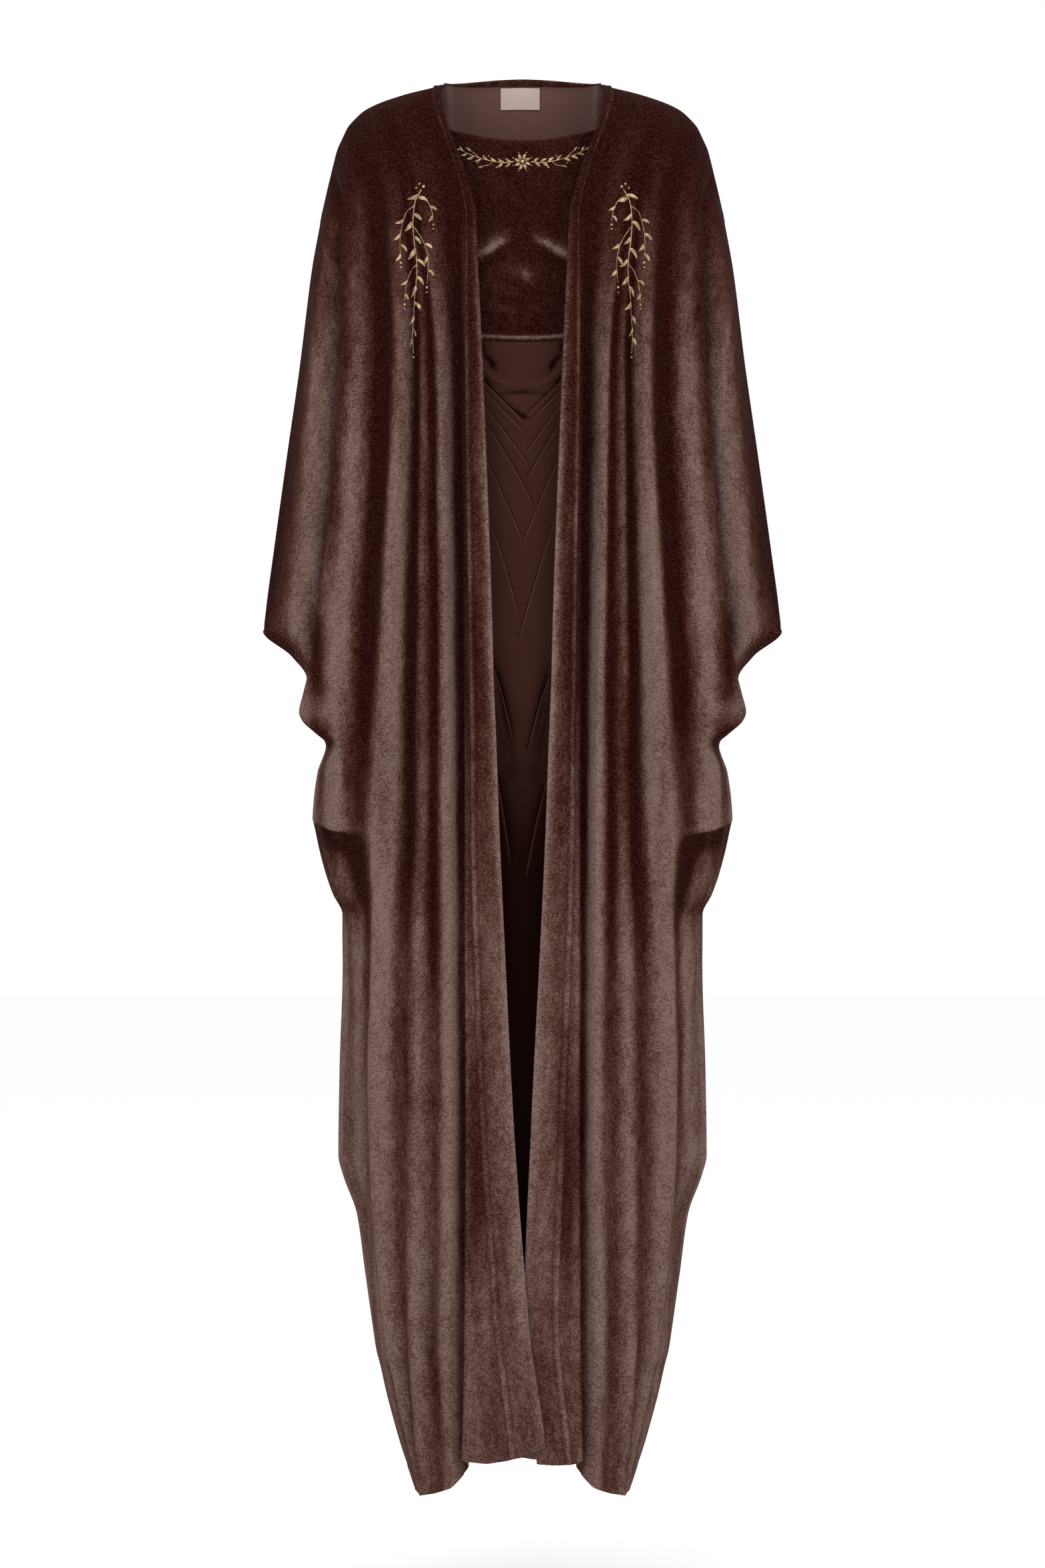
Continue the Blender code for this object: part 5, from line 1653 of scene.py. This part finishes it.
def embroidery(name, tree, design, side, finish, rosette=None):
    # stems, leaves and berries of one design on the cloth, on one side of the middle
    grid, sphere = bpy.ops.mesh.primitive_grid_add, bpy.ops.mesh.primitive_uv_sphere_add
    leaf, leafFaces = modelled(grid, leafShape, x_subdivisions=10, y_subdivisions=6, size=1)
    ball, ballFaces = modelled(sphere, segments=10, ring_count=6, radius=1)
    ball = ball[:, (0, 2, 1)]
    ballFaces = [face[::-1] for face in ballFaces]
    left, top = design["top"]
    leaves, berries = [], []
    for across, drop, angle, length, width in design["leaves"]:
        angle = angle if side > 0 else 180 - angle
        leaves.append(sewnLeaf(tree, leaf, (side * (left + across), top + drop), angle, length, width))
    for across, drop, size in design["berries"]:
        berries.append(sewnBerry(tree, ball, (side * (left + across), top + drop), size))
    if rosette:
        centre = np.array(rosette["centre"])
        inner, length, width = rosette["petal"]
        for k in range(rosette["petals"]):
            angle = 360 / rosette["petals"] * (k + 0.5)
            way = np.array([np.cos(np.radians(angle)), np.sin(np.radians(angle))])
            leaves.append(sewnLeaf(tree, leaf, centre + inner * way, angle, length, width))
            berries.append(sewnBerry(tree, ball, centre + rosette["beadAway"] * way, rosette["bead"]))
        berries.append(sewnBerry(tree, ball, centre, rosette["berry"]))
    parts = [joinedCopies(name, leaves, leafFaces, finish)]
    parts.append(joinedCopies(name + "Berries", berries, ballFaces, finish))
    for k, path in enumerate(design["stems"]):
        line = (np.array(path, float) + (left, top)) * (side, 1)
        radius = stemSizes["radius"] * (stemSizes["branch"] if k else 1)
        parts.append(sewnStem(name + "Stem", tree, line, finish, radius))
    selectOnly(parts)
    bpy.ops.object.join()
    piece = bpy.context.active_object
    piece.name = name
    return piece


velvet = velvetFinish("velvet", velvetLook)
# the bands' and binding's velvet: a copy made paler, as painted light
bandVelvet = velvetFinish("velvetBand", velvetLook, velvetLook["bandShade"])
velvetInside = wrongSideFinish(insideLook, velvetLook)
satin = satinFinish(satinLook)
wovenLabel = labelFinish(labelLook)
gold = threadFinish("goldThread", goldLook)
seamThread = threadFinish("seamThread", seamLook)
print("finishes made")

grids, flats, pieces, areas = {}, {}, {}, {}


def keep(node, made):
    points, flats[node], pieces[node] = made
    a, b, c, d = points[:-1, :-1], points[1:, :-1], points[1:, 1:], points[:-1, 1:]
    grids[node], areas[node] = points, areaOf(a, b, c) + areaOf(a, c, d)


for side in ("right", "left"):
    keep("front_" + side, panel(side, "front", [velvet, velvetInside]))
    keep("front_band_" + side, frontBand(side, [bandVelvet]))
    keep("back_" + side, panel(side, "back", [velvet, velvetInside]))
print("panels made")
keep("inner_bodice", innerBodice([velvet, velvetInside]))
pieces["inner_skirt"], areas["inner_skirt"] = innerSkirt(satin)
keep("back_neck_band", neckBand([bandVelvet]))
keep("label", label(wovenLabel))
print("inner front, binding and label made")

sewing = seamStitches(grids, flats, seamThread)
sprays = {}
for side, sign in (("right", -1), ("left", 1)):
    tree = clothUnder(grids["front_" + side])
    sprays[side] = embroidery(side + "ChestSpray", tree, chestSpray, sign, gold)
tree = clothUnder(grids["inner_bodice"])
garlands = [embroidery("leftGarland", tree, neckGarland, 1, gold, neckRosette),
            embroidery("rightGarland", tree, neckGarland, -1, gold)]
print("stitches and embroidery made")
for extra in list(sewing.values()) + list(sprays.values()) + garlands:
    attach(extra, "root")

# each node's cloth hangs from the root, and the node's own part is hidden
for node, piece in pieces.items():
    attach(piece, "root")
    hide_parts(node)

# the studio, in metres
studio = {
    "floorDrop": 1.62,
    "floorSize": 24.0,
    "camera": (0, -4.2, -0.746),
    "lens": 90.5,
    "sensor": 36,
    "aim": (0, 0, -0.75),
    "key": ((-1.4, -2.6, 0.9), 2.2, 28),
    "fill": ((1.6, -2.4, 0.3), 2.4, 24),
    "top": ((0, -0.3, 2.2), 2.0, 14),
    "world": 1.0,
}


def softLamp(name, place, size, power):
    lamp = added(bpy.ops.object.light_add, name, type="AREA", location=place)
    lamp.data.shape = "SQUARE"
    lamp.data.size = size
    lamp.data.energy = power
    lamp.rotation_euler = (Vector(studio["aim"]) - Vector(place)).to_track_quat("-Z", "Y").to_euler()


floorPlace = (0, 0, -studio["floorDrop"])
floor = added(bpy.ops.mesh.primitive_plane_add, "floor", size=studio["floorSize"], location=floorPlace)
floorLook = {"Base Color": (0.98, 0.98, 0.98, 1), "Roughness": 0.9, "Specular IOR Level": 0.1}
floor.data.materials.append(Finish("paleFloor", floorLook).material)
for name in ("key", "fill", "top"):
    softLamp(name, *studio[name])
world = bpy.data.worlds.new("studio")
world.use_nodes = True
background = world.node_tree.nodes["Background"]
background.inputs["Color"].default_value = (1, 1, 1, 1)
background.inputs["Strength"].default_value = studio["world"]
bpy.context.scene.world = world
bpy.context.scene.view_settings.view_transform = "Standard"

camera = added(bpy.ops.object.camera_add, location=studio["camera"], rotation=(np.radians(90), 0, 0))
camera.data.lens = studio["lens"]
camera.data.sensor_fit = "AUTO"
camera.data.sensor_width = studio["sensor"]
bpy.context.scene.camera = camera
print("studio made")
